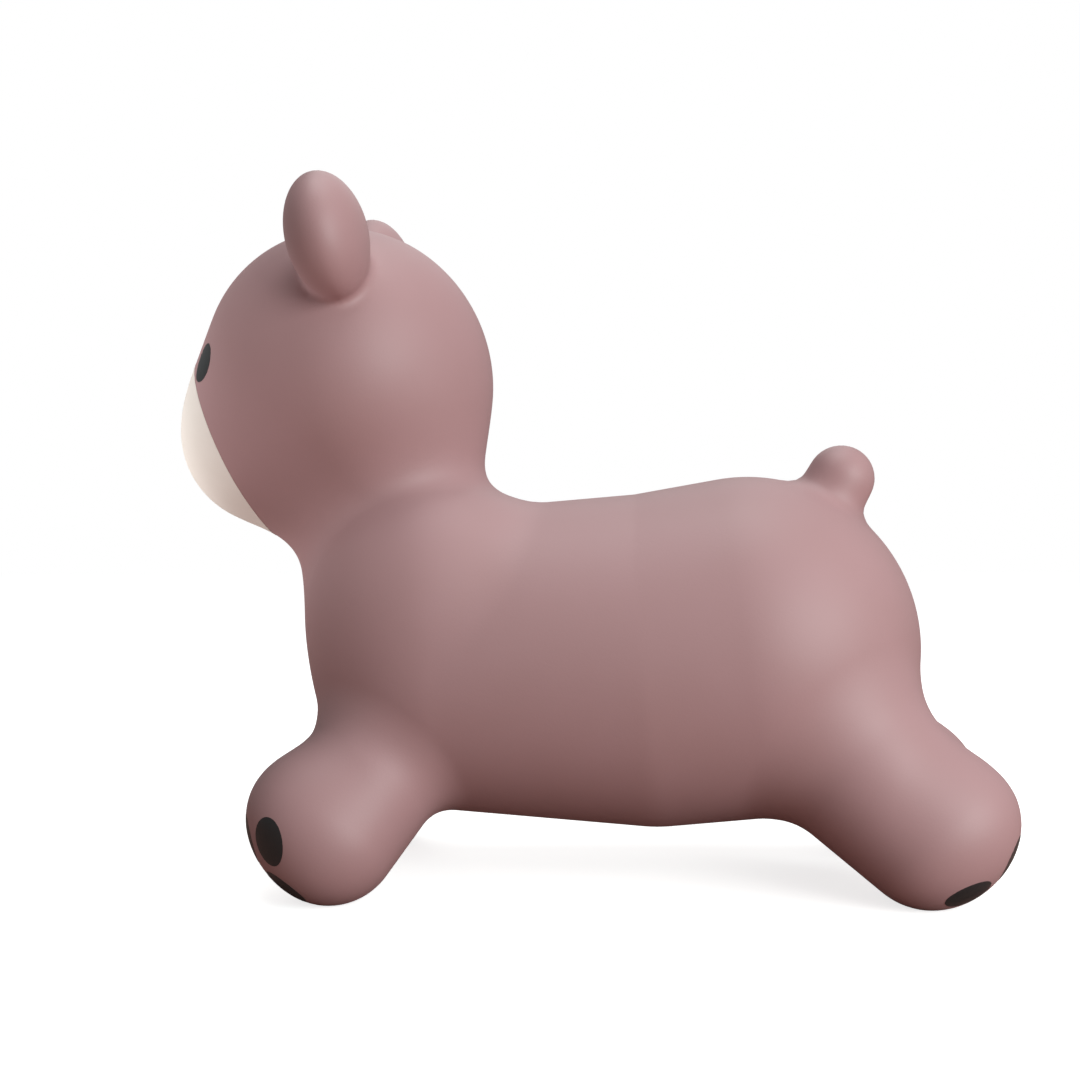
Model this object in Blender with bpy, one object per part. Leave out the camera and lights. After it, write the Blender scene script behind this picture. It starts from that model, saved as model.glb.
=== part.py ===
"""Animal hopper: a hollow, air-filled bear that a child sits on and bounces.

Metres, +Z up. The bear looks along -X, its left side is at -Y, and it stands on z = 0 with the
origin under the middle of its box. Its skin is one smooth union of balls and tapered limbs. It is
cut into sections at the rings where it bends, and the paint films follow the same surface.
"""

import math
from typing import NamedTuple

import bmesh
import bpy
import numpy as np
from mathutils import Matrix, Vector

# Skin, seams and paint
WALL = 0.0028
SEAM_GAP = 0.0003
PAINT_GAP = 0.0005
PAINT_THICKNESS = 0.0005

# Facets: the net's spacing, the farthest that a point is drawn onto a cut, and the sharpest smooth edge
FACET = 0.022
SNAP = FACET / 8
SHARP_ANGLE = math.radians(40)
SETTLE_STEPS = 12
RELAX_ROUNDS = 6
CAST_STEPS = 40
BALLS_PER_LIMB = 5

# Trunk: chest, belly and rump are balls in a row, with shoulders across the chest
CHEST_CENTRE = (-0.0900, 0.0, 0.1585)
CHEST_RADIUS = 0.1105
BELLY_FROM_CHEST = (0.143, 0.0, 0.0005)
BELLY_RADIUS = 0.1215
RUMP_FROM_BELLY = (0.0665, 0.0, 0.009)
RUMP_RADIUS = 0.124
SHOULDER_FROM_CHEST = (-0.0225, 0.0135, 0.0485)
SHOULDER_RADIUS = 0.0885

# Head, on a neck that widens upwards and is flat at its sides, and a muzzle that sinks into it
HEAD_FROM_CHEST = (-0.085, 0.0, 0.215)
HEAD_RADIUS = 0.103
NECK_TOP_FROM_HEAD = (0.014, 0.0, -0.028)
NECK_TOP_RADIUS = 0.0855
NECK_BASE_FROM_CHEST = (-0.0445, 0.0, 0.053)
NECK_BASE_RADIUS = 0.0625
NECK_NARROWING = 0.74
MUZZLE_HEADING = (-0.054, 0.0, -0.0465)
MUZZLE_SINK = 0.032
MUZZLE_RADIUS = 0.0685

# Ears, half sizes from front to back, across and upwards, and the tail: each rises from its ball
EAR_HEADING = (0.0083, 0.0975, 0.0833)
EAR_RISE = 0.0255
EAR_HALF_SIZE = np.array((0.0277, 0.0438, 0.0438))
EAR_LEAN = math.radians(11.0)
TAIL_HEADING = (0.068, 0.0, 0.122)
TAIL_RISE = 0.016
TAIL_RADIUS = 0.024

# Legs: a hip, a foot that stands on the floor and a swelling for the toes
FRONT_HIP_FROM_CHEST = (-0.0505, 0.052, -0.0645)
FRONT_HIP_RADIUS = 0.0515
FRONT_STRIDE = (-0.0305, 0.0365)
FRONT_FOOT_RADIUS = 0.048
FRONT_TOE_FROM_FOOT = (-0.017, 0.0, 0.016)
FRONT_TOE_RADIUS = 0.040
REAR_HIP_FROM_RUMP = (0.0615, 0.047, -0.0605)
REAR_HIP_RADIUS = 0.063
REAR_STRIDE = (0.0565, 0.0305)
REAR_FOOT_RADIUS = 0.0495
REAR_TOE_FROM_FOOT = (0.025, 0.0, 0.0155)
REAR_TOE_RADIUS = 0.0285
SOLE_FLAT_DEPTH = 0.002

# Width of the rounding where two forms meet
SHOULDER_BLEND = 0.0225
NECK_BLEND = 0.0185
HEAD_BLEND = 0.036
MUZZLE_BLEND = 0.028
FRONT_LEG_BLEND = 0.0195
REAR_LEG_BLEND = 0.022
FRONT_TOE_BLEND = 0.020
REAR_TOE_BLEND = 0.040
TAIL_BLEND = 0.0205
EAR_BLEND = 0.009

# Rings of skin that bend: where each starts, how wide it is, and how far past its limb a seam may cut
NECK_RING_FROM_HEAD = (0.039, 0.0, -0.106)
NECK_TILT = math.radians(22)
NECK_RING_WIDTH = 0.030
FRONT_RING_FROM_HIP = 0.034
REAR_RING_FROM_HIP = 0.046
LEG_RING_WIDTH = 0.016
EAR_RING_ABOVE_HEAD = 0.010
EAR_RING_WIDTH = 0.013
TAIL_RING_ABOVE_RUMP = 0.005
TAIL_RING_WIDTH = 0.008
SEAM_MARGIN = 0.020

# Paint: the muzzle's edge lies in a plane, and the rest are ovals of half width and half height
MUZZLE_EDGE_FROM_MUZZLE = (-0.029, 0.0, -0.0055)
MUZZLE_EDGE_DROP = math.radians(23)
EYE_HALF_SIZE = (0.012, 0.014)
EYE_BEARING = math.radians(29.5)
EYE_ELEVATION = math.radians(1.5)
NOSE_HALF_SIZE = (0.015, 0.010)
NOSE_ELEVATION = math.radians(19.5)
CLAW_HALF_SIZE = (0.013, 0.0175)
# Bearing outward from straight ahead, elevation, and lean of its top to straight ahead, in degrees
FRONT_CLAWS = {"outer_claw": (50, 3, 0), "middle_claw": (15, -1, 0), "lower_claw": (42, -42, 25)}
REAR_CLAWS = {"outer_claw": (55, -41, 57), "middle_claw": (15, -13, 0), "inner_claw": (-25, -41, 57)}

# Valve under the belly, flush with the skin
VALVE_BORE_RADIUS = 0.0053
VALVE_CLEARANCE = 0.0003
VALVE_SEAT_RADIUS = 0.0125
VALVE_SEAT_DEPTH = 0.016
VALVE_SLEEVE_RADIUS = 0.009
VALVE_FLANGE_RADIUS = 0.018
VALVE_FLANGE_GAP = 0.0009
VALVE_FLANGE_THICKNESS = 0.0015
PLUG_HEAD_RADIUS = 0.0085
PLUG_HEAD_THICKNESS = 0.002
PLUG_STEM_LENGTH = 0.013
PLUG_TIP_CHAMFER = 0.0015

# Linear colours and roughness
SKIN_PINK = (0.407, 0.242, 0.235)
SKIN_ROUGHNESS = 0.5
CREAM = (0.745, 0.645, 0.584)
CREAM_ROUGHNESS = 0.45
BLACK = (0.017, 0.014, 0.014)
BLACK_ROUGHNESS = 0.35
VALVE_WHITE = (0.70, 0.68, 0.65)
VALVE_ROUGHNESS = 0.4

LEFT = -1
RIGHT = 1
SIDES = {"left": LEFT, "right": RIGHT}


class Ball(NamedTuple):
    centre: np.ndarray
    radius: float

    def on(self, side):
        """The same ball on the left or the right of the bear."""
        return Ball(self.centre * (1, side, 1), self.radius)


class Seam(NamedTuple):
    """A plane across the skin; reach is how far from its point it cuts."""

    point: Vector
    normal: Vector
    reach: float


def unit(vector):
    return np.asarray(vector) / np.linalg.norm(vector)


CHEST = Ball(np.array(CHEST_CENTRE), CHEST_RADIUS)
BELLY = Ball(CHEST.centre + BELLY_FROM_CHEST, BELLY_RADIUS)
RUMP = Ball(BELLY.centre + RUMP_FROM_BELLY, RUMP_RADIUS)
SHOULDER = Ball(CHEST.centre + SHOULDER_FROM_CHEST, SHOULDER_RADIUS)
HEAD = Ball(CHEST.centre + HEAD_FROM_CHEST, HEAD_RADIUS)
NECK_TOP = Ball(HEAD.centre + NECK_TOP_FROM_HEAD, NECK_TOP_RADIUS)
NECK_BASE = Ball(CHEST.centre + NECK_BASE_FROM_CHEST, NECK_BASE_RADIUS)
MUZZLE = Ball(HEAD.centre + unit(MUZZLE_HEADING) * (HEAD_RADIUS - MUZZLE_SINK), MUZZLE_RADIUS)
EAR = Ball(HEAD.centre + unit(EAR_HEADING) * (HEAD_RADIUS + EAR_RISE), EAR_HALF_SIZE.max())
EAR_TURN = Matrix.Rotation(-EAR_LEAN, 3, "Y")
TAIL = Ball(RUMP.centre + unit(TAIL_HEADING) * (RUMP_RADIUS + TAIL_RISE), TAIL_RADIUS)


def foot_ball(hip, stride, radius):
    """A foot out from its hip, just deep enough in the floor to stand on a flat sole."""
    x, y = hip.centre[:2] + stride
    return Ball(np.array((x, y, radius - SOLE_FLAT_DEPTH)), radius)


FRONT_HIP = Ball(CHEST.centre + FRONT_HIP_FROM_CHEST, FRONT_HIP_RADIUS)
FRONT_FOOT = foot_ball(FRONT_HIP, FRONT_STRIDE, FRONT_FOOT_RADIUS)
FRONT_TOE = Ball(FRONT_FOOT.centre + FRONT_TOE_FROM_FOOT, FRONT_TOE_RADIUS)
REAR_HIP = Ball(RUMP.centre + REAR_HIP_FROM_RUMP, REAR_HIP_RADIUS)
REAR_FOOT = foot_ball(REAR_HIP, REAR_STRIDE, REAR_FOOT_RADIUS)
REAR_TOE = Ball(REAR_FOOT.centre + REAR_TOE_FROM_FOOT, REAR_TOE_RADIUS)


def ball_distance(points, ball):
    return np.linalg.norm(points - ball.centre, axis=-1) - ball.radius


def limb_distance(points, first, second):
    """Distance to two balls and the cone that wraps them, negative inside."""
    along = second.centre - first.centre
    length = np.linalg.norm(along)
    along = along / length
    slope = (first.radius - second.radius) / length
    rise = math.sqrt(1 - slope * slope)
    offset = points - first.centre
    height = offset @ along
    out = np.linalg.norm(offset - height[..., None] * along, axis=-1)
    lean = height * rise - out * slope
    beside = out * rise + height * slope - first.radius
    below = np.hypot(out, height) - first.radius
    above = np.hypot(out, height - length) - second.radius
    return np.where(lean < 0, below, np.where(lean > length * rise, above, beside))


def blended(first, second, width):
    """The lesser of two distances, rounded over where they are within width of each other."""
    near = np.maximum(width - np.abs(first - second), 0) / width
    return np.minimum(first, second) - near * near * width / 4


def leg_distance(points, hip, foot, toe, toe_blend):
    return blended(limb_distance(points, hip, foot), ball_distance(points, toe), toe_blend)


def neck_distance(points):
    """The neck is a limb squeezed from side to side, so its points are stretched by as much."""
    return limb_distance(points * (1, 1 / NECK_NARROWING, 1), NECK_BASE, NECK_TOP)


def ear_distance(points, side):
    """Distance to an ear, a flattened ball that leans forward; exact only close to its surface."""
    offset = (points - EAR.on(side).centre) @ np.array(EAR_TURN)
    share = np.linalg.norm(offset / EAR_HALF_SIZE, axis=-1)
    slope = np.linalg.norm(offset / EAR_HALF_SIZE**2, axis=-1)
    return share * (share - 1) / np.maximum(slope, 1e-9)


def skin_distance(points):
    """Distance from the outside of the skin, negative inside the bear."""
    trunk = np.minimum(limb_distance(points, CHEST, BELLY), limb_distance(points, BELLY, RUMP))
    shoulders = limb_distance(points, SHOULDER.on(LEFT), SHOULDER.on(RIGHT))
    trunk = blended(trunk, shoulders, SHOULDER_BLEND)
    skin = blended(trunk, neck_distance(points), NECK_BLEND)
    head = blended(ball_distance(points, HEAD), ball_distance(points, MUZZLE), MUZZLE_BLEND)
    skin = blended(skin, head, HEAD_BLEND)
    for side in SIDES.values():
        front = [ball.on(side) for ball in (FRONT_HIP, FRONT_FOOT, FRONT_TOE)]
        rear = [ball.on(side) for ball in (REAR_HIP, REAR_FOOT, REAR_TOE)]
        skin = blended(skin, leg_distance(points, *front, FRONT_TOE_BLEND), FRONT_LEG_BLEND)
        skin = blended(skin, leg_distance(points, *rear, REAR_TOE_BLEND), REAR_LEG_BLEND)
        skin = blended(skin, ear_distance(points, side), EAR_BLEND)
    return blended(skin, ball_distance(points, TAIL), TAIL_BLEND)


def skin_slope(points):
    """Gradient of the distance, by central differences."""
    step = 0.0002
    shifts = np.eye(3) * step
    return np.stack(
        [(skin_distance(points + s) - skin_distance(points - s)) / (2 * step) for s in shifts], axis=-1
    )


def settled(points, plane_normal=(0.0, 0.0, 0.0)):
    """The points moved along the slope, or within a plane, until they lie on the skin."""
    normal = np.array(plane_normal)
    for _ in range(SETTLE_STEPS):
        slope = skin_slope(points)
        slope = slope - (slope @ normal)[..., None] * normal
        rate = skin_distance(points) / np.maximum((slope * slope).sum(axis=-1), 0.01)
        points = points - slope * rate[..., None]
    return points


def cast(origin, aims, level=0.0):
    """Where rays from a point inside the bear reach the given distance from the skin."""
    near = np.zeros(aims.shape[:-1])
    far = np.full(aims.shape[:-1], HEAD_RADIUS + MUZZLE_RADIUS)
    for _ in range(CAST_STEPS):
        middle = (near + far) / 2
        inside = skin_distance(origin + aims * middle[..., None]) < level
        near = np.where(inside, middle, near)
        far = np.where(inside, far, middle)
    return origin + aims * near[..., None]


def material(name, colour, roughness):
    made = bpy.data.materials.new(name)
    made.use_nodes = True
    shader = made.node_tree.nodes["Principled BSDF"]
    shader.inputs["Base Color"].default_value = (*colour, 1)
    shader.inputs["Roughness"].default_value = roughness
    shader.inputs["Metallic"].default_value = 0
    return made


def add_object(name, mesh, finish, pivot=(0, 0, 0)):
    """A node whose origin is at its pivot, from a mesh in world coordinates."""
    mesh.transform(Matrix.Translation(-Vector(pivot)))
    mesh.shade_smooth()
    mesh.set_sharp_from_angle(angle=SHARP_ANGLE)
    mesh.materials.append(finish)
    made = bpy.data.objects.new(name, mesh)
    made.location = pivot
    bpy.context.scene.collection.objects.link(made)
    return made


def mesh_from(points, faces):
    mesh = bpy.data.meshes.new("mesh")
    mesh.from_pydata([tuple(point) for point in points], [], faces)
    return mesh


def rough_limb(bm, first, second, widening=1.0):
    """Balls along a limb, as raw material for the skin."""
    for share in np.linspace(0, 1, BALLS_PER_LIMB):
        centre = first.centre + (second.centre - first.centre) * share
        radius = first.radius + (second.radius - first.radius) * share
        place = Matrix.Translation(centre) @ Matrix.Diagonal((1, widening, 1, 1))
        bmesh.ops.create_icosphere(bm, subdivisions=3, radius=radius, matrix=place)


def rough_skin():
    """One even net of quads round all the limbs, before it is settled on the skin."""
    bm = bmesh.new()
    for pair in ((CHEST, BELLY), (BELLY, RUMP), (HEAD, MUZZLE), (TAIL, RUMP)):
        rough_limb(bm, *pair)
    rough_limb(bm, SHOULDER.on(LEFT), SHOULDER.on(RIGHT))
    rough_limb(bm, NECK_BASE, NECK_TOP, NECK_NARROWING)
    for side in SIDES.values():
        for hip, foot, toe in ((FRONT_HIP, FRONT_FOOT, FRONT_TOE), (REAR_HIP, REAR_FOOT, REAR_TOE)):
            rough_limb(bm, hip.on(side), foot.on(side))
            rough_limb(bm, foot.on(side), toe.on(side))
        ear = Matrix.LocRotScale(EAR.on(side).centre, EAR_TURN, EAR_HALF_SIZE)
        bmesh.ops.create_icosphere(bm, subdivisions=3, radius=1, matrix=ear)
    mesh = bpy.data.meshes.new("rough_skin")
    bm.to_mesh(mesh)
    bm.free()
    holder = bpy.data.objects.new("rough_skin", mesh)
    bpy.context.scene.collection.objects.link(holder)
    remesh = holder.modifiers.new("even_net", "REMESH")
    remesh.mode = "VOXEL"
    remesh.voxel_size = FACET
    bpy.context.view_layer.update()
    even = bpy.data.meshes.new_from_object(holder.evaluated_get(bpy.context.evaluated_depsgraph_get()))
    bpy.data.objects.remove(holder)
    return even


def verts_of(parts):
    """The points of some edges or faces, each once and always in the same order."""
    return list(dict.fromkeys(vert for part in parts for vert in part.verts))


def settle_net(verts, plane_normal=(0.0, 0.0, 0.0)):
    spots = settled(np.array([vert.co[:] for vert in verts]), plane_normal)
    for vert, spot in zip(verts, spots):
        vert.co = spot


def refine_small_limbs(bm):
    """Halves the facets of the ears and the tail, which curve more tightly than the rest."""
    centres = np.array([face.calc_center_median()[:] for face in bm.faces])
    tail = ball_distance(centres, TAIL)
    ears = np.minimum(ear_distance(centres, LEFT), ear_distance(centres, RIGHT))
    small = np.minimum(tail, ears) < FACET / 2
    edges = dict.fromkeys(edge for face, chosen in zip(bm.faces, small) if chosen for edge in face.edges)
    bmesh.ops.subdivide_edges(bm, edges=list(edges), cuts=1, use_grid_fill=True)
    settle_net(bm.verts)


def flatten_soles(bm):
    """Cuts the feet off at the floor and closes each with a flat sole."""
    for vert in bm.verts:
        if abs(vert.co.z) < SNAP / 2:
            vert.co.z = 0
    every_part = bm.verts[:] + bm.edges[:] + bm.faces[:]
    floor = bmesh.ops.bisect_plane(
        bm, geom=every_part, dist=1e-6, plane_co=(0, 0, 0), plane_no=(0, 0, 1), clear_inner=True
    )
    edges = [part for part in floor["geom_cut"] if isinstance(part, bmesh.types.BMEdge)]
    settle_net(verts_of(edges), (0, 0, 1))
    bmesh.ops.holes_fill(bm, edges=edges)


def whole_skin():
    """The closed outside of the bear, alike on both sides, with flat soles on the floor."""
    bm = bmesh.new()
    bm.from_mesh(rough_skin())
    settle_net(bm.verts)
    for _ in range(RELAX_ROUNDS):
        bmesh.ops.smooth_vert(
            bm, verts=bm.verts, factor=0.5, use_axis_x=True, use_axis_y=True, use_axis_z=True
        )
        settle_net(bm.verts)
    refine_small_limbs(bm)
    flatten_soles(bm)
    return bm


def nearest_loop(edges, point):
    """The run of joined edges whose points lie nearest to a point on average."""
    left = dict.fromkeys(edges)
    loops = []
    while left:
        loop = [left.popitem()[0]]
        for edge in loop:
            for other in [other for vert in edge.verts for other in vert.link_edges]:
                if other in left:
                    del left[other]
                    loop.append(other)
        loops.append(loop)
    return min(loops, key=lambda loop: np.mean([(edge.verts[0].co - point).length for edge in loop]))


def cut_seam(bm, seam):
    """Opens the skin along a seam, after points close to the plane are drawn onto it."""
    faces = [face for face in bm.faces if (face.calc_center_median() - seam.point).length < seam.reach]
    verts = verts_of(faces)
    edges = list(dict.fromkeys(edge for face in faces for edge in face.edges))
    for vert in verts:
        height = (vert.co - seam.point).dot(seam.normal)
        if abs(height) < SNAP:
            vert.co -= seam.normal * height
    found = bmesh.ops.bisect_plane(
        bm, geom=verts + edges + faces, dist=1e-6, plane_co=seam.point, plane_no=seam.normal
    )
    on_plane = [part for part in found["geom_cut"] if isinstance(part, bmesh.types.BMEdge)]
    cut = nearest_loop(on_plane, seam.point)
    settle_net(verts_of(cut), seam.normal)
    bmesh.ops.split_edges(bm, edges=cut)


def nearest_face(bm, point):
    return min(bm.faces, key=lambda face: (face.calc_center_median() - Vector(point)).length)


def face_at_rim(bm, seam):
    """The face at the open edge that lies nearest to a seam."""

    def remoteness(edge):
        offset = edge.verts[0].co - seam.point
        return abs(offset.dot(seam.normal)) + offset.length

    return min((edge for edge in bm.edges if edge.is_boundary), key=remoteness).link_faces[0]


def take_section(bm, first):
    """Removes and returns the whole section that holds a face."""
    section = {first: None}
    edge_of_fill = [first]
    while edge_of_fill:
        for edge in edge_of_fill.pop().edges:
            new = [face for face in edge.link_faces if face not in section]
            section.update(dict.fromkeys(new))
            edge_of_fill.extend(new)
    verts = verts_of(section)
    place = {vert: index for index, vert in enumerate(verts)}
    points = np.array([vert.co[:] for vert in verts])
    faces = [[place[vert] for vert in face.verts] for face in section]
    bmesh.ops.delete(bm, geom=list(section), context="FACES")
    return points, faces


def border_of(faces):
    """Directed edges that belong to one face only."""
    edges = dict.fromkeys((a, b) for face in faces for a, b in zip(face, face[1:] + face[:1]))
    return [(a, b) for a, b in edges if (b, a) not in edges]


def rim_faces(points, border):
    """Triangles from a rim to its copy, split from the higher end so that facing rims run parallel."""
    count = len(points)
    faces = []
    for a, b in border:
        if tuple(points[a][::-1]) > tuple(points[b][::-1]):
            faces += [[b, a, b + count], [a, a + count, b + count]]
        else:
            faces += [[b, a, a + count], [b, a + count, b + count]]
    return faces


def shell_mesh(section, seams):
    """A section with its wall: its rims drawn back by half a gap, and an inside parallel to it."""
    points, faces = section
    border = border_of(faces)
    rim = sorted({index for edge in border for index in edge})
    for seam in seams:
        heights = (points - np.array(seam.point)) @ np.array(seam.normal)
        close = np.linalg.norm(points - np.array(seam.point), axis=1) < seam.reach
        here = {index for index in rim if close[index] and abs(heights[index]) < 1e-5}
        beside = [i for face in faces if here & set(face) for i in face if i not in here]
        if here:
            shift = math.copysign(SEAM_GAP / 2, heights[beside].mean())
            points[list(here)] += np.array(seam.normal) * shift
    slope = skin_slope(points)
    inside = points - WALL * slope / np.linalg.norm(slope, axis=1)[:, None]
    count = len(points)
    backs = [[index + count for index in reversed(face)] for face in faces]
    return mesh_from([*points, *inside], faces + backs + rim_faces(points, border))


def ring_seams(point, normal, width, reach):
    """The near and the far seam of a ring of skin that bends, and its middle."""
    near = Seam(Vector(point), Vector(normal), reach)
    far = Seam(Vector(point) + width * Vector(normal), Vector(normal), reach)
    return near, far, (near.point + far.point) / 2


def leg_seams(hip, foot, start):
    along = unit(foot.centre - hip.centre)
    return ring_seams(hip.centre + start * along, along, LEG_RING_WIDTH, hip.radius + SEAM_MARGIN)


def limb_plan():
    """Each limb's name, ring's name, tip and seams, in the order in which they are cut off."""
    neck_axis = np.array((-math.sin(NECK_TILT), 0, math.cos(NECK_TILT)))
    ring_start = HEAD.centre + NECK_RING_FROM_HEAD - neck_axis * NECK_RING_WIDTH / 2
    for name, side in SIDES.items():
        ear_axis = unit(EAR_HEADING) * (1, side, 1)
        start = HEAD.centre + ear_axis * (HEAD_RADIUS + EAR_RING_ABOVE_HEAD)
        seams = ring_seams(start, ear_axis, EAR_RING_WIDTH, EAR.radius + SEAM_MARGIN)
        ear_end = EAR.on(side).centre + ear_axis * EAR.radius
        yield f"{name}_ear", f"{name}_ear_root", ear_end, seams
    neck = ring_seams(ring_start, neck_axis, NECK_RING_WIDTH, NECK_TOP_RADIUS + SEAM_MARGIN)
    yield "head", "neck", MUZZLE.centre, neck
    for name, side in SIDES.items():
        front = leg_seams(FRONT_HIP.on(side), FRONT_FOOT.on(side), FRONT_RING_FROM_HIP)
        rear = leg_seams(REAR_HIP.on(side), REAR_FOOT.on(side), REAR_RING_FROM_HIP)
        yield f"{name}_front_leg", f"{name}_front_hip", FRONT_TOE.on(side).centre, front
        yield f"{name}_rear_leg", f"{name}_rear_hip", REAR_TOE.on(side).centre, rear
    tail_axis = unit(TAIL_HEADING)
    tail_end = TAIL.centre + tail_axis * TAIL_RADIUS
    start = RUMP.centre + tail_axis * (RUMP_RADIUS + TAIL_RING_ABOVE_RUMP)
    seams = ring_seams(start, tail_axis, TAIL_RING_WIDTH, TAIL_RADIUS + SEAM_MARGIN)
    yield "tail", "tail_root", tail_end, seams


def make_skin(finish):
    """All the sections of the skin. Each limb and its ring turn about the ring's middle."""
    bm = whole_skin()
    sections = []
    seams = []
    for limb, ring, tip, (near, far, middle) in limb_plan():
        seams += [near, far]
        cut_seam(bm, far)
        sections.append((limb, take_section(bm, nearest_face(bm, tip)), middle))
        cut_seam(bm, near)
        sections.append((ring, take_section(bm, face_at_rim(bm, far)), middle))
    sections.append(("torso", take_section(bm, nearest_face(bm, BELLY.centre)), Vector()))
    bm.free()
    return {
        name: add_object(name, shell_mesh(section, seams), finish, pivot)
        for name, section, pivot in sections
    }


def film_mesh(origin, pole, aims, coats_below=0):
    """A paint film over the skin, from a fan of rays: rings of aims round the pole, inner to outer."""
    base = PAINT_GAP + coats_below * (PAINT_GAP + PAINT_THICKNESS)
    rings, sides = aims.shape[:2]
    rays = np.concatenate([pole[None], aims.reshape(-1, 3)])
    rays = rays / np.linalg.norm(rays, axis=1)[:, None]
    top = cast(origin, rays, base + PAINT_THICKNESS)
    bottom = cast(origin, rays, base)
    count = len(rays)
    faces = []
    for i in range(sides):
        j = (i + 1) % sides
        faces.append([0, 1 + i, 1 + j])
        for ring in range(rings - 1):
            low = 1 + ring * sides
            high = low + sides
            faces.append([low + i, high + i, high + j, low + j])
    backs = [[index + count for index in reversed(face)] for face in faces]
    return mesh_from([*top, *bottom], faces + backs + rim_faces(top, border_of(faces)))


def oval_film(origin, heading, half_size, lean=0.0, coats_below=0, rings=2, sides=18):
    """An oval of paint where the heading meets the skin; a positive lean turns its top to the right."""
    heading = unit(heading)
    reach = np.linalg.norm(cast(origin, heading[None])[0] - origin)
    right = unit(np.cross((0, 0, 1), heading))
    up = np.cross(heading, right)
    across = right * math.cos(lean) - up * math.sin(lean)
    along = up * math.cos(lean) + right * math.sin(lean)
    turn = np.linspace(0, math.tau, sides, endpoint=False)
    share = (np.arange(rings) + 1) / rings
    wide = half_size[0] * np.outer(share, np.cos(turn))
    tall = half_size[1] * np.outer(share, np.sin(turn))
    aims = heading * reach + wide[..., None] * across + tall[..., None] * along
    return film_mesh(origin, heading, aims, coats_below)


def muzzle_film(rings=8, sides=40):
    """All of the face in front of a plane that tips forward."""
    pole = np.array((-math.cos(MUZZLE_EDGE_DROP), 0, -math.sin(MUZZLE_EDGE_DROP)))
    up = np.array((-math.sin(MUZZLE_EDGE_DROP), 0, math.cos(MUZZLE_EDGE_DROP)))
    right = np.cross(up, pole)
    turn = np.linspace(0, math.tau, sides, endpoint=False)
    round_pole = np.cos(turn)[:, None] * right + np.sin(turn)[:, None] * up
    polar = (np.arange(rings) + 1) / rings * math.pi / 2
    aims = np.cos(polar)[:, None, None] * pole + np.sin(polar)[:, None, None] * round_pole
    return film_mesh(MUZZLE.centre + MUZZLE_EDGE_FROM_MUZZLE, pole, aims)


def heading_of(forward, bearing, elevation, side):
    """A direction from its angle outward from straight ahead and its angle upward."""
    level = math.cos(elevation)
    return (forward * math.cos(bearing) * level, side * math.sin(bearing) * level, math.sin(elevation))


def make_claws(name, side, black, pivots):
    for leg, foot, forward, claws in (
        ("front", FRONT_FOOT, -1, FRONT_CLAWS),
        ("rear", REAR_FOOT, 1, REAR_CLAWS),
    ):
        for claw, angles in claws.items():
            bearing, elevation, lean = (math.radians(angle) for angle in angles)
            heading = heading_of(forward, bearing, elevation, side)
            lean_to_right = lean * math.copysign(1, -side * forward * bearing)
            film = oval_film(foot.on(side).centre, heading, CLAW_HALF_SIZE, lean_to_right)
            add_object(f"{name}_{leg}_{claw}", film, black, pivots[f"{name}_{leg}_leg"])


def make_paint(pivots):
    """The painted films. Each one turns with the section that it is painted on."""
    cream = material("cream_paint", CREAM, CREAM_ROUGHNESS)
    black = material("black_paint", BLACK, BLACK_ROUGHNESS)
    head = pivots["head"]
    add_object("muzzle_paint", muzzle_film(), cream, head)
    nose = oval_film(MUZZLE.centre, heading_of(-1, 0, NOSE_ELEVATION, RIGHT), NOSE_HALF_SIZE, coats_below=1)
    add_object("nose_paint", nose, black, head)
    for name, side in SIDES.items():
        eye = heading_of(-1, EYE_BEARING, EYE_ELEVATION, side)
        add_object(f"{name}_eye_paint", oval_film(HEAD.centre, eye, EYE_HALF_SIZE), black, head)
        make_claws(name, side, black, pivots)


def turned_mesh(profile, place, sides=24):
    """A profile of (radius, height) points, closed on itself or on the axis, turned about Z."""
    bm = bmesh.new()
    verts = [bm.verts.new((radius, 0, height)) for radius, height in profile]
    edges = [bm.edges.new(pair) for pair in zip(verts, verts[1:])]
    if profile[0][0] > 0:
        edges.append(bm.edges.new((verts[-1], verts[0])))
    bmesh.ops.spin(bm, geom=verts + edges, axis=(0, 0, 1), cent=(0, 0, 0), angle=math.tau, steps=sides)
    bmesh.ops.remove_doubles(bm, verts=bm.verts, dist=1e-6)
    bmesh.ops.recalc_face_normals(bm, faces=bm.faces)
    bmesh.ops.transform(bm, matrix=place, verts=bm.verts)
    mesh = bpy.data.meshes.new("turned")
    bm.to_mesh(mesh)
    bm.free()
    return mesh


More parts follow.
